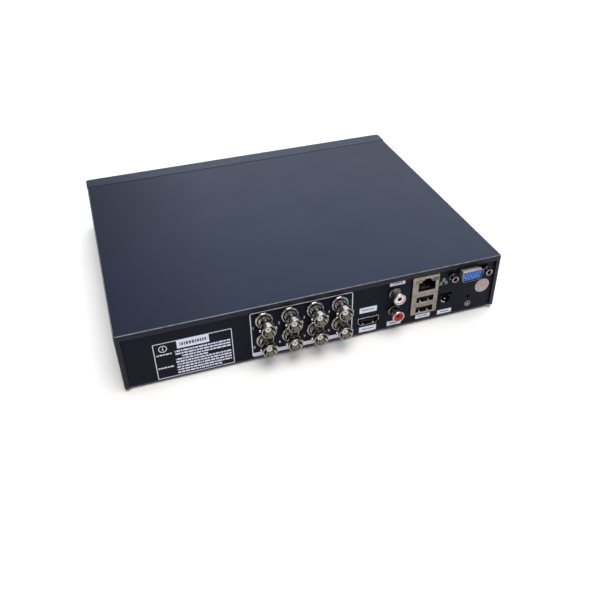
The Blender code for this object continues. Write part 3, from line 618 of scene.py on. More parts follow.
def make_fascia():
    """Moulded front, hollow behind, with its recess, strip, dimples and openings."""
    turns = [i * pi / 2 / 8 for i in range(9)]
    ends = [(fascia_outline(1.6 * (1 - sin(t)), 3 * (1 - sin(t))), SIDE - 3 * (1 - cos(t)))
            for t in turns]
    fascia = solid("fascia_shell", stack([(outline, -x) for outline, x in ends] + ends[::-1], "X"))
    wall = 2
    cavity = FRONT + 4.4
    cut(fascia, box(span(0, SIDE - wall), (cavity, FASCIA_BACK + 1), (BOTTOM + wall, TOP - wall)))
    thin = (FRONT + wall, cavity + 0.5)
    cut(fascia, box((73.9, 122), thin, (5.2, 38)), box((27, 73), thin, (13, 25)))
    floor = RECESS_DEPTH
    bevel = [(2.4, -0.5), (1.9, 0), (1.45, 0.13), (1.2, 0.45), (0.25, floor - 0.35), (0, floor)]
    cut(fascia, stack([(recess_outline(grow), FRONT + depth) for grow, depth in bevel]))
    low = rectangle(*span(RECESS_X, 74), FRONT - 1, FRONT + STRIP_DEPTH)
    high = rectangle(*span(RECESS_X, 62), FRONT - 1, FRONT)
    cut(fascia, stack([(low, BOTTOM - 0.2), (high, STRIP_TOP)], "Z"))

    holes = [(OK_KEY, 15, 72, 0.2), (MENU_KEY, 3.85, 32, 0.15), (ESC_KEY, 3.85, 32, 0.15)]
    holes += [(lamp, 0.9, 16, 0.2) for lamp in LAMPS] + [(EYE_PLACE, 3.6, 32, 0.3)]
    cut(fascia, *[flared((place.x, place.z), radius, sides, FRONT, 6, ease)
                  for place, radius, sides, ease in holes])
    slope = STRIP_DEPTH / (STRIP_TOP - BOTTOM)
    dimples = dimple_row(36, 38.3, 0.62, FRONT + floor) + dimple_row(34, 34, 0.62, FRONT + floor)
    for count, z in ((34, 9.3), (36, 6.2)):
        dimples += dimple_row(count, z, 0.72, FRONT + slope * (STRIP_TOP - z))
    cut(fascia, *dimples)
    hook_z = (BOTTOM + SHEET + 0.3, BOTTOM + SHEET + 1.9)
    add(fascia, *[box(span(x, 6), (COVER_FRONT - 5, COVER_FRONT + 3), hook_z)
                  for x in (-90, -30, 30, 90)])
    finish(fascia, FASCIA, "fascia_plastic", "front_fascia")


def make_tray():
    """Base, side flanges and the rear panel with its cut-outs."""
    half, front, flange_top = TRAY_HIGH.x, TRAY_LOW.y, BOTTOM + 11
    tray = solid("tray_sheet", box((-half, half), (front, PANEL), (BOTTOM, TRAY_HIGH.z)))
    panel_back = PANEL - SHEET
    cut(tray, box(span(0, half - SHEET), (front - 1, panel_back), (BOTTOM + SHEET, TOP)))
    cut(tray, box(span(0, half + 1), (front - 2, panel_back - 0.01), (flange_top, TOP + 1)))
    through = (panel_back - 1, PANEL + 1)
    holes = rods(BNC, 5.05, 40, through) + rods(RCA, 4.6, 40, through)
    gap = 0.3
    jack = (JACK_LOW.x - gap, JACK_HIGH.x + gap), (JACK_LOW.z - gap, JACK_HIGH.z + gap)
    holes += [plate(*jack, 0.4, through), plate(span(HDMI.x, 7.8), span(HDMI.z, 3.6), 0.5, through),
              plate(span(DC.x, 4.8), (DC.z - 7.6, DC.z + 4.9), 0.4, through),
              rod(RESET, 1.25, 24, *through), prism(d_outline(8.8, 4.7), *through)]
    cut(tray, *holes, *rods(POSTS, 1.8, 16, through))
    screw = node_centre("cover_screw_left")
    cut(tray, rod((screw.y, screw.z), 1.6, 16, -SIDE, SIDE, "X"))
    groove = (PANEL - 0.35, PANEL + 1)
    cut(tray, *[prism(arc_band(BLANK, 5.55, 5.8, first, first + 150, 24), *groove)
                for first in (15, 195)])
    base = (BOTTOM - 1, BOTTOM + 2)
    vents = [(40 + 8 * column, 8 * row - 60) for row in range(8) for column in range(6)]
    cut(tray, *[prism(rounded_box(*span(x, 1.3), *span(y, 2.8), 1.28), *base, "Z") for x, y in vents])
    cut(tray, *[rod((foot.x, foot.y), 1.6, 16, *base, "Z") for foot in FEET])
    finish(tray, PANEL_PAINT, "panel_paint", "chassis_tray")


def make_feet():
    """Round rubber feet with a screw recess from below."""
    top = BOTTOM - 0.3
    rise = [(6.5 - 0.7 * (1 - sin(t)), 0.7 * (1 - cos(t))) for t in (i * pi / 12 for i in range(7))]
    profile = [(0, 1.4), (3, 1.4), (3.2, 0.15), (3.5, 0)] + rise
    profile += [(6.5, top - 0.3), (6.3, top), (0, top)]
    x, y = FEET[0].xy
    foot = solid("rubber_foot_1", turned(profile, 48, (x, y), axis="Z"))
    finish(foot, RUBBER, "rubber", "foot_1")
    head = [(0, 1.41), (2.6, 1.41), (2.6, 0.9), (2.2, 0.6), (0, 0.5)]
    screw = solid("foot_screw_1", turned(head, 32, (x, y), axis="Z"))
    for half_x, half_y in ((1.5, 0.3), (0.3, 1.5)):
        cut(screw, box(span(x, half_x), span(y, half_y), (0, 0.95)))
    finish(screw, NICKEL, "nickel")
    copy_pieces(FEET, (foot, "foot"), (screw, None))


def make_side_screws():
    """A countersunk screw through each side of the cover."""
    profile = back_from(SIDE, [(0, 0.05), (2.5, 0.15), (2.95, 0.35), (2.9, 1), (1.3, 1.05), (1.3, 6),
                               (0, 6)])
    for name, side in (("left", -1), ("right", 1)):
        place = node_centre(f"cover_screw_{name}")
        screw = solid(f"side_screw_{name}",
                      turned([(r, side * x) for r, x in profile], 48, (place.y, place.z), axis="X"))
        reach = sorted((side * (SIDE - 0.7), side * (SIDE + 1)))
        for ys, zs in ((1.8, 0.3), (0.3, 1.8)):
            cut(screw, box(reach, span(place.y, ys), span(place.z, zs)))
        finish(screw, NICKEL, "nickel", f"cover_screw_{name}")


# ---- keys and lamps
KEY_WALL = 2.3  # from the fascia's face to the flange that holds a key in
KEY_BACK = KEY_WALL + 0.9  # to the back of that flange


def make_round_key(name, cap, flange, stem):
    """A cap given by its (radius, depth) profile, with a flange and a stem."""
    node = f"{name}_button"
    centre, tip = node_centre(node), node_box(node)[1].y - FRONT
    profile = cap + [(cap[-1][0], KEY_WALL), (flange, KEY_WALL), (flange, KEY_BACK),
                     (stem, KEY_BACK), (stem, tip), (0, tip)]
    key = solid(f"{name}_key_cap", turned(profile, 56, (centre.x, centre.z), FRONT))
    if name != "ok":  # the small keys' flanges are flat below, as in the frame
        cut(key, box(span(centre.x, 8), (FRONT + KEY_WALL - 0.01, FRONT + KEY_BACK + 0.01),
                     (centre.z - 8, centre.z - 2.9)))
    finish(key, KEYS, "key_plastic", node, f"{name}_key")


def make_keys():
    """Two small domed keys, a dished one and the four quarters around it."""
    dome = [(0, -0.6), (1.6, -0.57), (2.6, -0.46), (3.1, -0.3), (3.35, -0.08), (3.45, 0.25)]
    dish = [(0, -0.3), (2.2, -0.34), (3.6, -0.46), (4.3, -0.58), (4.7, -0.6), (5, -0.48), (5.16, -0.25),
            (5.2, 0.1)]
    make_round_key("menu", dome, 4.35, 1.6)
    make_round_key("esc", dome, 4.35, 1.6)
    make_round_key("ok", dish, 5.6, 2.2)
    for turn, name in enumerate(("right", "up", "left", "down")):
        tip = node_box(f"{name}_button")[1].y - FRONT
        # Each level: inner and outer radius, half of the gap between neighbours, and depth.
        levels = [(8.3, 12.1, 2.8, -0.6), (8, 12.4, 2.5, -0.5), (7.75, 12.65, 2.25, -0.1),
                  (7.65, 12.75, 2.15, 0.15), (7.1, 13.7, 1.5, 0.2), (6.75, 14.25, 1.15, 0.3),
                  (6.5, 14.5, 0.9, 0.5), (6.4, 14.55, 0.8, 0.9), (6.4, 14.55, 0.8, KEY_WALL),
                  (6.4, 14.55, 1.2, KEY_WALL), (6.4, 14.55, 1.2, KEY_BACK), (9.4, 11.8, 5.2, KEY_BACK),
                  (9.4, 11.8, 5.2, tip)]
        outlines = [(sector(inner, outer, gap, turn * pi / 2), FRONT + y)
                    for inner, outer, gap, y in levels]
        piece(f"{name}_key_cap", [stack(outlines)], KEYS, "key_plastic", node=f"{name}_button",
              body=f"{name}_key", angle=28)


def make_lamps():
    """Three lamps behind their holes, and the remote control's eye behind its guard."""
    back = node_box("led_1")[1].y - FRONT
    dome = [(1.45 * sin(t), 2.3 + 1.4 * (1 - cos(t))) for t in (i * pi / 16 for i in range(9))]
    lamp = solid("lamp_1", turned(dome + [(1.5, 3.8), (1.5, back), (0, back)], 32,
                                  (LAMPS[0].x, LAMPS[0].z), FRONT))
    finish(lamp, LAMP, "lamp_lens", "led_1")
    copy_pieces(LAMPS, (lamp, "led"))
    back = node_box("ir_window")[1].y - FRONT
    centre = (EYE_PLACE.x, EYE_PLACE.z)
    glass = [(0, 1.5), (1.6, 1.6), (2.6, 1.9), (3.1, 2.4), (3.2, 3), (3.2, back), (0, back)]
    piece("eye_lens", [turned(glass, 40, centre, FRONT)], EYE, "dark_lens", node="ir_window")
    cap = [(0, 0.1), (1.2, 0.12), (3.1, 0.3), (3.5, 0.5), (3.55, 1.2), (0, 1.2)]
    guard = solid("eye_guard", turned(cap, 48, centre, FRONT))
    slots = [prism(arc_band(centre, 1.55, 2.75, turn - 32, turn + 32, 14), FRONT - 1, FRONT + 2)
             for turn in (0, 90, 180, 270)]
    cut(guard, rod(centre, 0.75, 24, FRONT - 1, FRONT + 2), *slots)
    finish(guard, FASCIA, "fascia_plastic")


# ---- sockets along the rear
def make_bnc():
    """Eight BNC sockets: shell with two lugs, insulator, contact and bush."""
    tip = node_box("bnc_shell_1")[1].y - PANEL
    flange = [(4.7, -SHEET), (4.7, 0.3), (5.9, 0.3), (6.05, 0.45), (6.05, 0.8), (5.95, 1.2), (5.65, 1.65),
              (5.25, 1.95), (4.9, 2), (4.75, 1.85), (4.7, 0.6), (3.9, 0.5), (3.9, 2.2)]
    ribs = [(radius, 2.4 + 0.7 * i + step) for i in range(4)
            for radius, step in ((3.6, 0), (3.6, 0.15), (3.85, 0.3), (3.85, 0.5))]
    head = back_from(tip, [
        (3.7, 5.3), (4.3, 5.3), (4.7, 5.1), (4.8, 4.8), (4.8, 4.3), (4.6, 4.15), (4.6, 3.95), (4.8, 3.8),
        (4.8, 0.6), (4.72, 0.25), (4.5, 0.05), (4.3, 0), (4.15, 0.1), (4.1, 0.3), (4.1, 0.5), (2.5, 2.55),
        (2.45, 2.7), (2.3, 4.4), (2.3, 5.2), (2.95, 5.2)])
    x, z = BNC[0].x, BNC[0].z
    profile = flange + ribs + [(3.7, 5.4)] + head + [(2.95, -SHEET)]
    shell = solid("bnc_body_1", turned(profile, 44, (x, z), PANEL))
    lug = [(0.9, 4.3), (0.9, 5.55), (0.82, 5.72), (0.62, 5.8)]
    add(shell, *[stack([(circle(r, 20, (PANEL + tip - 3.2, z)), x + side * out) for r, out in lug], "X")
                 for side in (-1, 1)])
    finish(shell, NICKEL, "nickel", "bnc_shell_1", angle=40)
    insulator = [(0, -SHEET), (2.6, -SHEET)] + back_from(tip, [
        (2.6, 5.4), (2, 5.4), (2, 2.6), (1.85, 2.4), (0.85, 2.4), (0.7, 2.55), (0.7, 8), (0, 8)])
    core = solid("bnc_core_1", turned(insulator, 36, (x, z), PANEL))
    finish(core, WHITE, "socket_white", "bnc_insulator_1")
    tube = back_from(tip, [(0.65, 7.9), (0.65, 5.6), (0.6, 5.5), (0.5, 5.6), (0.45, 5.8), (0.45, 7.9)])
    contact = solid("bnc_contact_1", turned(tube, 24, (x, z), PANEL))
    cut(contact, *[box(span(x, half_x), (PANEL + tip - 7, PANEL + tip), span(z, half_z))
                   for half_x, half_z in ((0.1, 2), (2, 0.1))])
    finish(contact, GOLD, "nickel")
    collar = [(3.95, 0.65), (3.95, 1.3), (4.1, 1.35), (4.5, 1.35), (4.65, 1.2), (4.65, 0.65)]
    bush = solid("bnc_bush_1", turned(collar, 44, (x, z), PANEL))
    finish(bush, BLACK, "socket_black")
    copy_pieces(BNC, (shell, "bnc_shell"), (core, "bnc_insulator"), (contact, None), (bush, None))


def make_rca():
    """Two RCA sockets: barrel with a rounded lip, insert and sleeve."""
    tip = node_box("rca_shell_top")[1].y - PANEL
    lip = back_from(tip, [(4.2, 0.6), (4.1, 0.2), (3.9, 0), (3.6, 0), (3.3, 0.1), (3.2, 0.35), (3.2, 1),
                          (3.55, 1)])
    barrel = [(4.2, -SHEET), (4.2, 1.3), (4, 1.45), (4, 1.9), (4.2, 2.05)] + lip + [(3.55, -SHEET)]
    face = back_from(tip, [(3.15, 1.1), (3.15, 0.75), (3, 0.6), (2, 0.55), (1.75, 0.6), (1.65, 0.9)])
    insert = [(0, -SHEET), (3.2, -SHEET)] + face + [(1.65, 1.5), (0, 1.5)]
    liner = [(1.6, 1.7)] + back_from(tip, [(1.6, 1), (1.45, 0.9), (1.2, 0.95), (1.1, 1.2)]) + [(1.1, 1.7)]
    for name, place, colour, slot, inside in (("top", RCA[0], WHITE, "socket_white", DARK_RED),
                                              ("bottom", RCA[1], RED, "socket_red", RED)):
        shapes = [turned(profile, sides, (place.x, place.z), PANEL)
                  for profile, sides in ((barrel, 56), (insert, 48), (liner, 36))]
        piece(f"rca_barrel_{name}", shapes[:1], SHELL_STEEL, "tin_plate", node=f"rca_shell_{name}")
        piece(f"rca_core_{name}", shapes[1:2], colour, slot, node=f"rca_insert_{name}")
        piece(f"rca_sleeve_{name}", shapes[2:], inside, "socket_red")


def jack_mouth(ease):
    """The network socket's stepped opening, its latch notch upwards."""
    steps = [(6, 28.1), (6, 34.6), (3.5, 34.6), (3.5, 36.4), (2, 36.4), (2, 37.4)]
    return mirrored([(a + ease, z + (ease if z > 30 else -ease), 0.15) for a, z in steps], LAN_X, 3)


def spring_tabs(front, x_places, middle_z, outline):
    """Springs above and below an opening, outlined by (depth, distance from its middle) points."""
    pair = [side_view(front, [(depth, middle_z + side * z) for depth, z in outline]) for side in (-1, 1)]
    return [prism(points, *span(x, 0.4), "X") for x in x_places for points in pair]


def make_jack():
    """One shell around a network socket and two USB sockets."""
    front = JACK_HIGH.y
    mouth = (front - 2, front + 1)
    shell = solid("jack_shell", box(*zip(JACK_LOW, JACK_HIGH)))
    soften(shell, 0.35, 3)
    chamber_top = JACK_HIGH.z - 0.6
    cut(shell, box((JACK_LOW.x + 0.6, JACK_HIGH.x - 0.6), (front - 19, front - 0.6), (26.2, chamber_top)))
    cut(shell, prism(jack_mouth(0.15), *mouth), *[
        plate(xs, (34.9, 37.5), 0.25, mouth) for xs in ((-69.9, -65.3), (-82, -77.9))])
    cut(shell, *[plate(span(USB_X, 6.2), span(z, 2.45), 0.5, (front - 16, front + 1)) for z in USB_ROWS])
    # Folded seams between the three openings.
    cut(shell, *[box((JACK_LOW.x - 1, JACK_HIGH.x + 1), (front - 0.18, front + 1), span(z, 0.12))
                 for z in (25.2, 16.85)])
    finish(shell, TIN, "tin_plate", "lan_usb_shell")

    springs = []
    for z in USB_ROWS:
        springs += spring_tabs(front, (USB_X - 3, USB_X + 3), z, [
            (0.5, 2.45), (2.6, 1.15), (3.4, 1.2), (3.4, 1), (2.5, 0.9), (0.3, 2.2)])
        lip = [(-0.02, z - 2.46), (0.3, z - 2.28), (0.7, z - 2.28), (0.7, z - 2.46)]
        springs.append(prism(side_view(front, lip), *span(USB_X, 5.8), "X"))
    piece("usb_springs", springs, TIN, "tin_plate")

    insert = solid("lan_liner", box((JACK_LOW.x + 0.9, JACK_HIGH.x - 0.9), (front - 18, front - 0.9),
                                    (26.5, chamber_top - 0.3)))
    cut(insert, prism(jack_mouth(0), front - 14, front + 1))
    finish(insert, BLACK, "socket_black", "lan_insert")
    wire = side_view(front, [(2.2, 28.2), (9.5, 31.6), (9.7, 31.3), (2.6, 27.9)])
    contacts = [prism(wire, *span(LAN_X + 1.02 * (i - 3.5), 0.24), "X") for i in range(8)]
    piece("lan_contacts", contacts, TIN, "tin_plate")
    for name, xs, glass in (("link", (-69.8, -65.4), LINK_LIGHT), ("data", (-81.9, -78), DATA_LIGHT)):
        window = solid(f"lan_{name}_light", plate(xs, (35, 37.4), 0.22, (front - 0.85, front - 0.1)))
        soften(window, 0.1, 2)
        finish(window, glass, "lamp_lens")

    tongues = [box(span(USB_X, 5.6), (front - 15.5, front - 1.2), span(z + 0.5, 0.95)) for z in USB_ROWS]
    tongue = solid("usb_tongues", *tongues)
    add(tongue, box(span(USB_X, 2.6), (front - 15.6, front - 12.4), USB_ROWS[::-1]))
    soften(tongue, 0.15, 2)
    finish(tongue, BLACK, "socket_black", "usb_insert")
    strips = [box(span(USB_X + x, half), (front - 9, front - 2), (z - 0.6, z - 0.4))
              for z in USB_ROWS for x, half in ((-3.5, 0.6), (-1, 0.5), (1, 0.5), (3.5, 0.6))]
    piece("usb_contacts", strips, GOLD, "nickel")


def hdmi_outline(half_width, half_height):
    """A rectangle with its two lower corners cut off, and small radii."""
    notch = half_height * 0.7
    corners = [(half_width, half_height, 0.3), (half_width, notch - half_height, 0.5),
               (half_width - notch, -half_height, 0.3)]
    return mirrored([(a, HDMI.z + b, radius) for a, b, radius in corners], HDMI.x, 4)


def make_hdmi():
    """HDMI socket: shell with springs, and a tongue with 19 contacts."""
    low, high = node_box("hdmi_shell")
    front = high.y
    shell = solid("hdmi_frame", prism(hdmi_outline(7.4, 3.1), low.y, front))
    soften(shell, 0.18, 2, 60)
    cut(shell, prism(hdmi_outline(7.1, 2.8), low.y + 1, front + 1))
    finish(shell, SHELL_STEEL, "tin_plate", "hdmi_shell")
    tongue = solid("hdmi_tongue_bar", box(span(HDMI.x, 5.4), (low.y + 1.3, front - 1), span(HDMI.z, 0.8)))
    soften(tongue, 0.2, 2)
    finish(tongue, BLACK, "socket_black", "hdmi_tongue")
    faces = [span(HDMI.z + side * 0.805, 0.055) for side in (-1, 1)]
    strips = [box(span(HDMI.x + 0.5 * (i - 9), 0.14), (front - 8, front - 1.6), faces[i % 2])
              for i in range(19)]
    piece("hdmi_contacts", strips, TIN, "tin_plate")
    piece("hdmi_springs", spring_tabs(front, (HDMI.x - 3.6, HDMI.x + 3.6), HDMI.z, [
        (0.6, 2.6), (2.4, 1.8), (3.4, 1.85), (3.4, 2.05), (2.3, 2), (0.4, 2.75)]), TIN, "tin_plate")


def make_dc_jack():
    """Power socket: body, centre pin and a spring along the bore."""
    low, high = node_box("dc_jack_body")
    centre = (DC.x, DC.z)
    body = solid("power_socket", box(*zip(low, high)))
    soften(body, 0.5, 3)
    cut(body, flared(centre, 3.1, 48, high.y, 10.5, 0.4, out=1))
    finish(body, BLACK, "socket_black", "dc_jack_body")
    start, tip = [corner.y for corner in node_box("dc_jack_pin")]
    pin = [(0, start), (0.8, start)] + back_from(tip, [(0.8, 0.5), (0.65, 0.2), (0.4, 0), (0, 0)])
    piece("power_pin", [turned(pin, 32, centre)], NICKEL, "nickel", node="dc_jack_pin")
    spring = prism(arc_band(centre, 2.3, 3, 265, 350, 12), high.y - 8, high.y - 0.6)
    piece("power_spring", [spring], SHELL_STEEL, "nickel")


def make_vga():
    """VGA socket: D rim, insert with three rows of five holes, and screw posts."""
    low, high = node_box("vga_shell")
    start, tip = low.y, high.y
    shell = solid("vga_frame", plate(span(VGA.x, 15.2), span(VGA.z, 5.8), 1, (start, start + 0.8)))
    rim = [(0, start + 0.4), (0, tip - 0.3), (-0.12, tip - 0.08), (-0.25, tip)]
    add(shell, stack([(d_outline(8.15 + grow, 4.1 + grow), y) for grow, y in rim]))
    cut(shell, prism(d_outline(7.75, 3.7), start - 1, tip + 1))
    cut(shell, *rods(POSTS, 1.8, 24, (start - 1, start + 2)))
    finish(shell, TIN, "tin_plate", "vga_shell")
    back, face = [corner.y for corner in node_box("vga_insulator")]
    insert = solid("vga_core", prism(d_outline(7.45, 3.4), back + 1.5, face))
    soften(insert, 0.15, 2, 60)
    add(insert, box(span(VGA.x, 9), (back, start - 0.3), span(VGA.z, 5.4)))
    places = [(VGA.x + 2.29 * (i - 2) + shift, VGA.z + row)
              for row, shift in ((1.98, 0.57), (0, -0.57), (-1.98, 0.57)) for i in range(5)]
    cut(insert, *[flared(place, 0.5, 16, face, 4, 0.18, out=1) for place in places])
    finish(insert, BLUE, "socket_blue", "vga_insulator")
    for number, place in enumerate(POSTS, 1):
        # A hexagonal nut below a round, hollow end with a chamfered mouth.
        node, centre = f"vga_standoff_{number}", (place.x, place.z)
        reach = node_box(node)[1].y - PANEL
        nut = prism(circle(2.75, 6, centre, pi / 6), PANEL + 0.3, PANEL + 2.6)
        post = solid(f"vga_post_{number}", nut)
        soften(post, 0.2, 2, 40)
        stem = [(0, -4.5), (1.4, -4.5), (1.4, 0.8), (2.35, 0.8), (2.35, reach - 0.2), (2.15, reach),
                (0, reach)]
        add(post, turned(stem, 40, centre, PANEL))
        cut(post, flared(centre, 1.5, 32, PANEL + reach, reach - 1.5, 0.3, out=1))
        finish(post, NICKEL, "nickel", node)


# ---- pieces inside, as the frame has them
def paint_inner_pieces():
    for material, nodes in ((BLACK, ("bnc_block", "rca_block")),
                            (BOARD, ("main_board", "key_board", "vga_riser_board")),
                            (ALUMINIUM, ("hard_drive", "heat_sink")),
                            (CABLE, ("drive_cable", "front_ribbon"))):
        for node in nodes:
            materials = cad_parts[node].data.materials
            materials.clear()
            materials.append(material)


# ---- printing
def on_panel(outline):
    """A flat shape printed on the rear panel. Its outline is (x, z)."""
    return prism(outline, PANEL - INK_ROOT, PANEL + INK_THICK)


def ring_on_panel(outer, inner):
    """A flat printed frame between two outlines of equal length."""
    root, face = PANEL - INK_ROOT, PANEL + INK_THICK
    rings = [(outer, root), (outer, face), (inner, face), (inner, root)]
    return skin([[(x, y, z) for x, z in outline] for outline, y in rings], closed=True)


def frame_on_panel(x0, x1, z0, z1, line, radius=0):
    """A printed outline, with rounded corners where it has a radius."""
    return ring_on_panel(rounded_box(x0, x1, z0, z1, radius),
                         rounded_box(x0 + line, x1 - line, z0 + line, z1 - line, radius - line))


def numeral(text, x, z, height):
    """A printed number that reads from behind."""
    data = bpy.data.curves.new("numeral", "FONT")
    data.body = text
    data.size = height / 0.7
    data.extrude = (INK_ROOT + INK_THICK) / 2
    data.align_x = "CENTER"
    source = new_object("numeral", data)
    mesh = evaluated_mesh(source)
    middle = PANEL + (INK_THICK - INK_ROOT) / 2
    points = [(x - v.co.x, middle + v.co.z, z + v.co.y) for v in mesh.vertices]
    faces = [tuple(p.vertices) for p in mesh.polygons]
    bpy.data.objects.remove(source)
    return points, faces


def dashes(rng, x0, x1, z, height, longest):
    """A row of short bars between two ends, standing in for a line of small print."""
    row, x = [], x0
    while x < x1:
        length = min(rng.uniform(0.8, longest), x1 - x)
        row.append(on_panel(rectangle(x, x + length, z - height / 2, z + height / 2)))
        x += length + 0.45
    return row


def raised(shapes):
    """Printed shapes lifted just clear of the ink below them."""
    return [([(x, y + 0.02, z) for x, y, z in points], faces) for points, faces in shapes]


def print_socket_field():
    """A rounded frame around the BNC sockets, a filled strip below them, and their numbers."""
    left, right = BNC[3].x - 9.3, BNC[0].x + 8.7
    shapes = [frame_on_panel(left, right, 3.9, 39, 0.6, 1.6),
              on_panel(rectangle(left + 0.6, right - 0.6, 5.4, 7)),
              on_panel(rounded_box(left + 0.65, right - 0.65, 4.5, 5.4, 0.4))]
    shapes += [numeral(str(number), place.x + 7, place.z - 6.2, 2)
               for number, place in enumerate(BNC, 1)]
    return shapes


def print_info_field():
    """A plain framed field: a filled heading, a sign at the side and rows of dashes."""
    rng = random.Random(8)
    shapes = [frame_on_panel(57.9, 106.6, 3.1, 31.2, 0.45), on_panel(rectangle(72.3, 92.2, 24.6, 30.8))]
    x, z = 100.8, 26.6
    shapes += [ring_on_panel(circle(2.6, 40, (x, z)), circle(2.15, 40, (x, z))),
               on_panel(bar(x, z - 0.45, 0.3, 0.85)), on_panel(circle(0.38, 16, (x, z + 1.1)))]
    for row_z in (22, 11.6):
        shapes += dashes(rng, 95.9, 105.4, row_z, 0.95, 2.2)
    starts, ends = {3: 74, 8: 66}, {2: 90}  # the rows that are shorter than the rest
    for i in range(9):
        shapes += dashes(rng, starts.get(i, 59.5), ends.get(i, 94), 22.6 - 2.15 * i, 1.15, 3.4)
    return shapes, raised(dashes(rng, 74, 90.5, 27.7, 2.4, 1.7))


def print_labels():
    """Label pads beside the sockets with faint marks on them, a network sign and an earth sign."""
    jack_x = (JACK_LOW.x + JACK_HIGH.x) / 2
    # Each pad: the socket's middle, how far it reaches to either side, and its lower and upper edge.
    pads = [(x - low, x + high, z0, z1) for x, high, low, z0, z1 in (
        (HDMI.x, 6.3, 5.9, 19.6, 23.9), (HDMI.x, 6.2, 6, 3.6, 7.9), (RCA[0].x, 3.9, 6.9, 36.6, 40),
        (RCA[0].x, 4.2, 6, 3.9, 7.6), (jack_x, 5, 5.8, 4.3, 7.6), (DC.x, 4.8, 5.8, 3.9, 7.3))]
    shapes = [on_panel(rounded_box(*pad, 0.3)) for pad in pads]
    marks = []
    rng = random.Random(3)
    for low_x, high_x, z0, z1 in pads:
        marks += raised(dashes(rng, low_x + 2, high_x - 2, (z0 + z1) / 2, 1, 1.3))
    signs = [frame_on_panel(*span(x, 0.9), *span(z, 0.8), 0.3)
             for x, z in ((-86.7, 32.9), (-84.7, 29.4), (-88.6, 29.7))]
    signs += [on_panel(rectangle(*line)) for line in (
        (-86.85, -86.55, 31.2, 32.1), (-88.75, -84.55, 31, 31.3), (-84.85, -84.55, 30.2, 31.1),
        (-88.75, -88.45, 30.5, 31.1))]
    x, z = RESET[0] - 0.3, 7.7
    signs += [ring_on_panel(circle(2.1, 48, (x, z)), circle(1.8, 48, (x, z))),
              on_panel(bar(x, z + 0.7, 0.17, 0.7))]
    signs += [on_panel(bar(x, z - drop, half, 0.17))
              for half, drop in ((1.2, 0.1), (0.8, 0.7), (0.4, 1.3))]
    return shapes, signs, marks


def print_front():
    """Small signs in place of words: power, alarm and recording lamps, menu and back keys."""
    def flat(outline):
        return prism(outline, FRONT - INK_THICK, FRONT + INK_ROOT)

    def ring(centre, outer, inner, first, last):
        return flat(arc_band(centre, inner, outer, first, last, 24))

    z = LAMPS[0].z + 3.6
    power, alarm, record = [lamp.x for lamp in LAMPS]
    bell = [(1.15, z - 0.75, 0), (0.8, z - 0.35, 0), (0.7, z + 0.5, 0), (0.3, z + 1.05, 0)]
    shapes = [ring((power, z), 1.15, 0.8, 125, 415), flat(bar(power, z + 0.725, 0.17, 0.625)),
              flat(mirrored(bell, alarm, 1)), flat(circle(0.32, 16, (alarm, z - 1.15))),
              flat(circle(0.7, 32, (record, z)))]
    shapes += [ring((record, z), 1.25, 1, first, first + sweep)
               for first, sweep in ((0, 175), (185, 170))]
    shapes += [flat(bar(MENU_KEY.x, 22.6 + row, 1.7, 0.2)) for row in (-0.95, 0, 0.95)]
    x, z = ESC_KEY.x, 15.1
    shapes += [flat([(x - 1.8, z), (x - 0.6, z - 1.05), (x - 0.6, z + 1.05)]),
               flat(bar(x + 0.125, z, 0.775, 0.19)), flat(bar(x + 0.2, z - 1.42, 0.7, 0.19)),
               ring((x + 0.9, z - 0.71), 0.9, 0.52, -90, 90)]
    return shapes


def make_prints():
    field, heading_marks = print_info_field()
    labels, signs, label_marks = print_labels()
    for name, shapes, ink in (("socket_field", print_socket_field(), INK), ("info_field", field, INK),
                              ("labels", labels, INK), ("signs", signs, FAINT_INK),
                              ("marks", heading_marks + label_marks, DARK_INK),
                              ("front_signs", print_front(), LEGEND_INK)):
        piece(f"print_{name}", shapes, ink)


def make_seal():
    """A round paper seal on the panel with two faint rings, three bars and no words."""
    x, z = -116.7, 20.9
    disc = [(0, -0.02), (5.35, -0.02), (5.35, 0.09), (5.3, 0.12), (0, 0.12)]
    piece("paper_seal", [turned(disc, 72, (x, z), PANEL)], PAPER, angle=20)
    reach = (PANEL + 0.1, PANEL + 0.15)
    marks = [prism(arc_band((x, z), inner, outer, pitch * i, pitch * i + sweep, 24), *reach)
             for inner, outer, pitch, sweep in ((4.2, 4.45, 360, 359), (3.1, 3.7, 40, 26))
             for i in range(360 // pitch)]
    marks += [prism(bar(x, z + row, half, 0.28), *reach)
              for half, row in ((1.9, 0.9), (2.4, -0.1), (1.7, -1.1))]
    piece("paper_seal_marks", marks, PAPER_INK)


# ---- camera, floor and lights
def make_camera():
    """The photograph's view: from behind on the recorder's left, looking down."""
    azimuth, elevation, roll = radians(162.67), radians(37.19), radians(-1.43)
    target, distance = Vector((7, 78.3, 25)) * MM, 0.45
    back = Vector((sin(azimuth) * cos(elevation), -cos(azimuth) * cos(elevation), sin(elevation)))
    data = bpy.data.cameras.new("camera")
    data.lens = 41
    data.clip_start = 0.01
    camera = new_object("camera", data)
    camera.location = target + back * distance
    turn = Quaternion((0, 0, 1), roll)
    camera.rotation_euler = ((-back).to_track_quat("-Z", "Y") @ turn).to_euler()
    bpy.context.scene.camera = camera


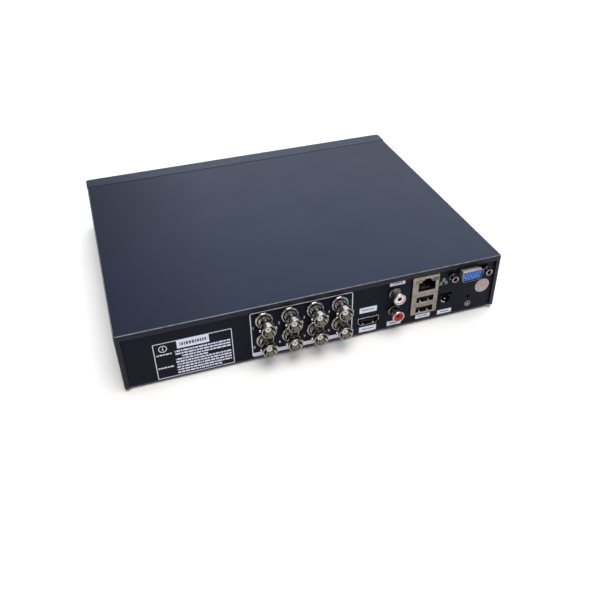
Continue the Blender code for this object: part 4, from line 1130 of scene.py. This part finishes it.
def make_floor():
    """A plain pale surface, large enough to fill every view."""
    size = 4000
    floor = solid("floor", box(span(0, size), span(0, size), (-20, 0)))
    n = Nodes("floor_paper", Roughness=0.7, Specular_IOR_Level=0.2)
    n.set(Base_Color=n.mottle(180, 2, (0.9, 0.9, 0.905), (0.925, 0.925, 0.925)))
    floor.data.materials.append(n.material)


def make_light(name, kind, power, colour, **settings):
    data = bpy.data.lights.new(name, kind)
    data.energy = power
    data.color = colour
    for setting, value in settings.items():
        setattr(data, setting, value)
    return new_object(name, data)


def make_surround():
    """A pale world: brightest at the horizon, so that the floor runs on into it, and dim overhead."""
    world = bpy.data.worlds.new("surround")
    world.use_nodes = True
    tree = world.node_tree
    direction = add_node(tree, "TexCoord").outputs["Generated"]
    height = add_node(tree, "SeparateXYZ", Vector=direction).outputs["Z"]
    ramp = add_node(tree, "MapRange", Value=height, From_Min=0.02, From_Max=0.35, To_Min=1, To_Max=0.25)
    set_inputs(tree.nodes["Background"], Color=(0.99, 0.99, 1), Strength=ramp.outputs["Result"])
    bpy.context.scene.world = world


def make_lights():
    """A broad light overhead that reaches the whole floor, a cool softbox beyond the front and a
    small warm window above the rear."""
    overhead = make_light("overhead", "SUN", 2.3, (1, 0.985, 0.965), angle=radians(45))
    overhead.rotation_euler = (radians(-11), radians(-6), 0)
    for name, place, target, width, height, power, colour in (
        ("softbox", (-1, -1.5, 1.68), (0, 0, 0), 2.9, 1.9, 36, (0.74, 0.85, 1)),
        ("window", (0.2, 0.75, 1.3), (0, 0.1, 0.02), 0.7, 0.45, 5, (1, 0.97, 0.93))):
        light = make_light(name, "AREA", power, colour, shape="RECTANGLE", size=width, size_y=height)
        light.location = place
        light.rotation_euler = (Vector(target) - Vector(place)).to_track_quat("-Z", "Y").to_euler()
    bpy.context.scene.view_settings.view_transform = "Standard"


for make in (make_camera, make_floor, make_surround, make_lights, make_cover, make_fascia, make_tray,
             make_feet, make_side_screws, make_keys, make_lamps, make_bnc, make_rca, make_jack,
             make_hdmi, make_dc_jack, make_vga, paint_inner_pieces, make_prints, make_seal):
    make()

bpy.context.view_layer.update()
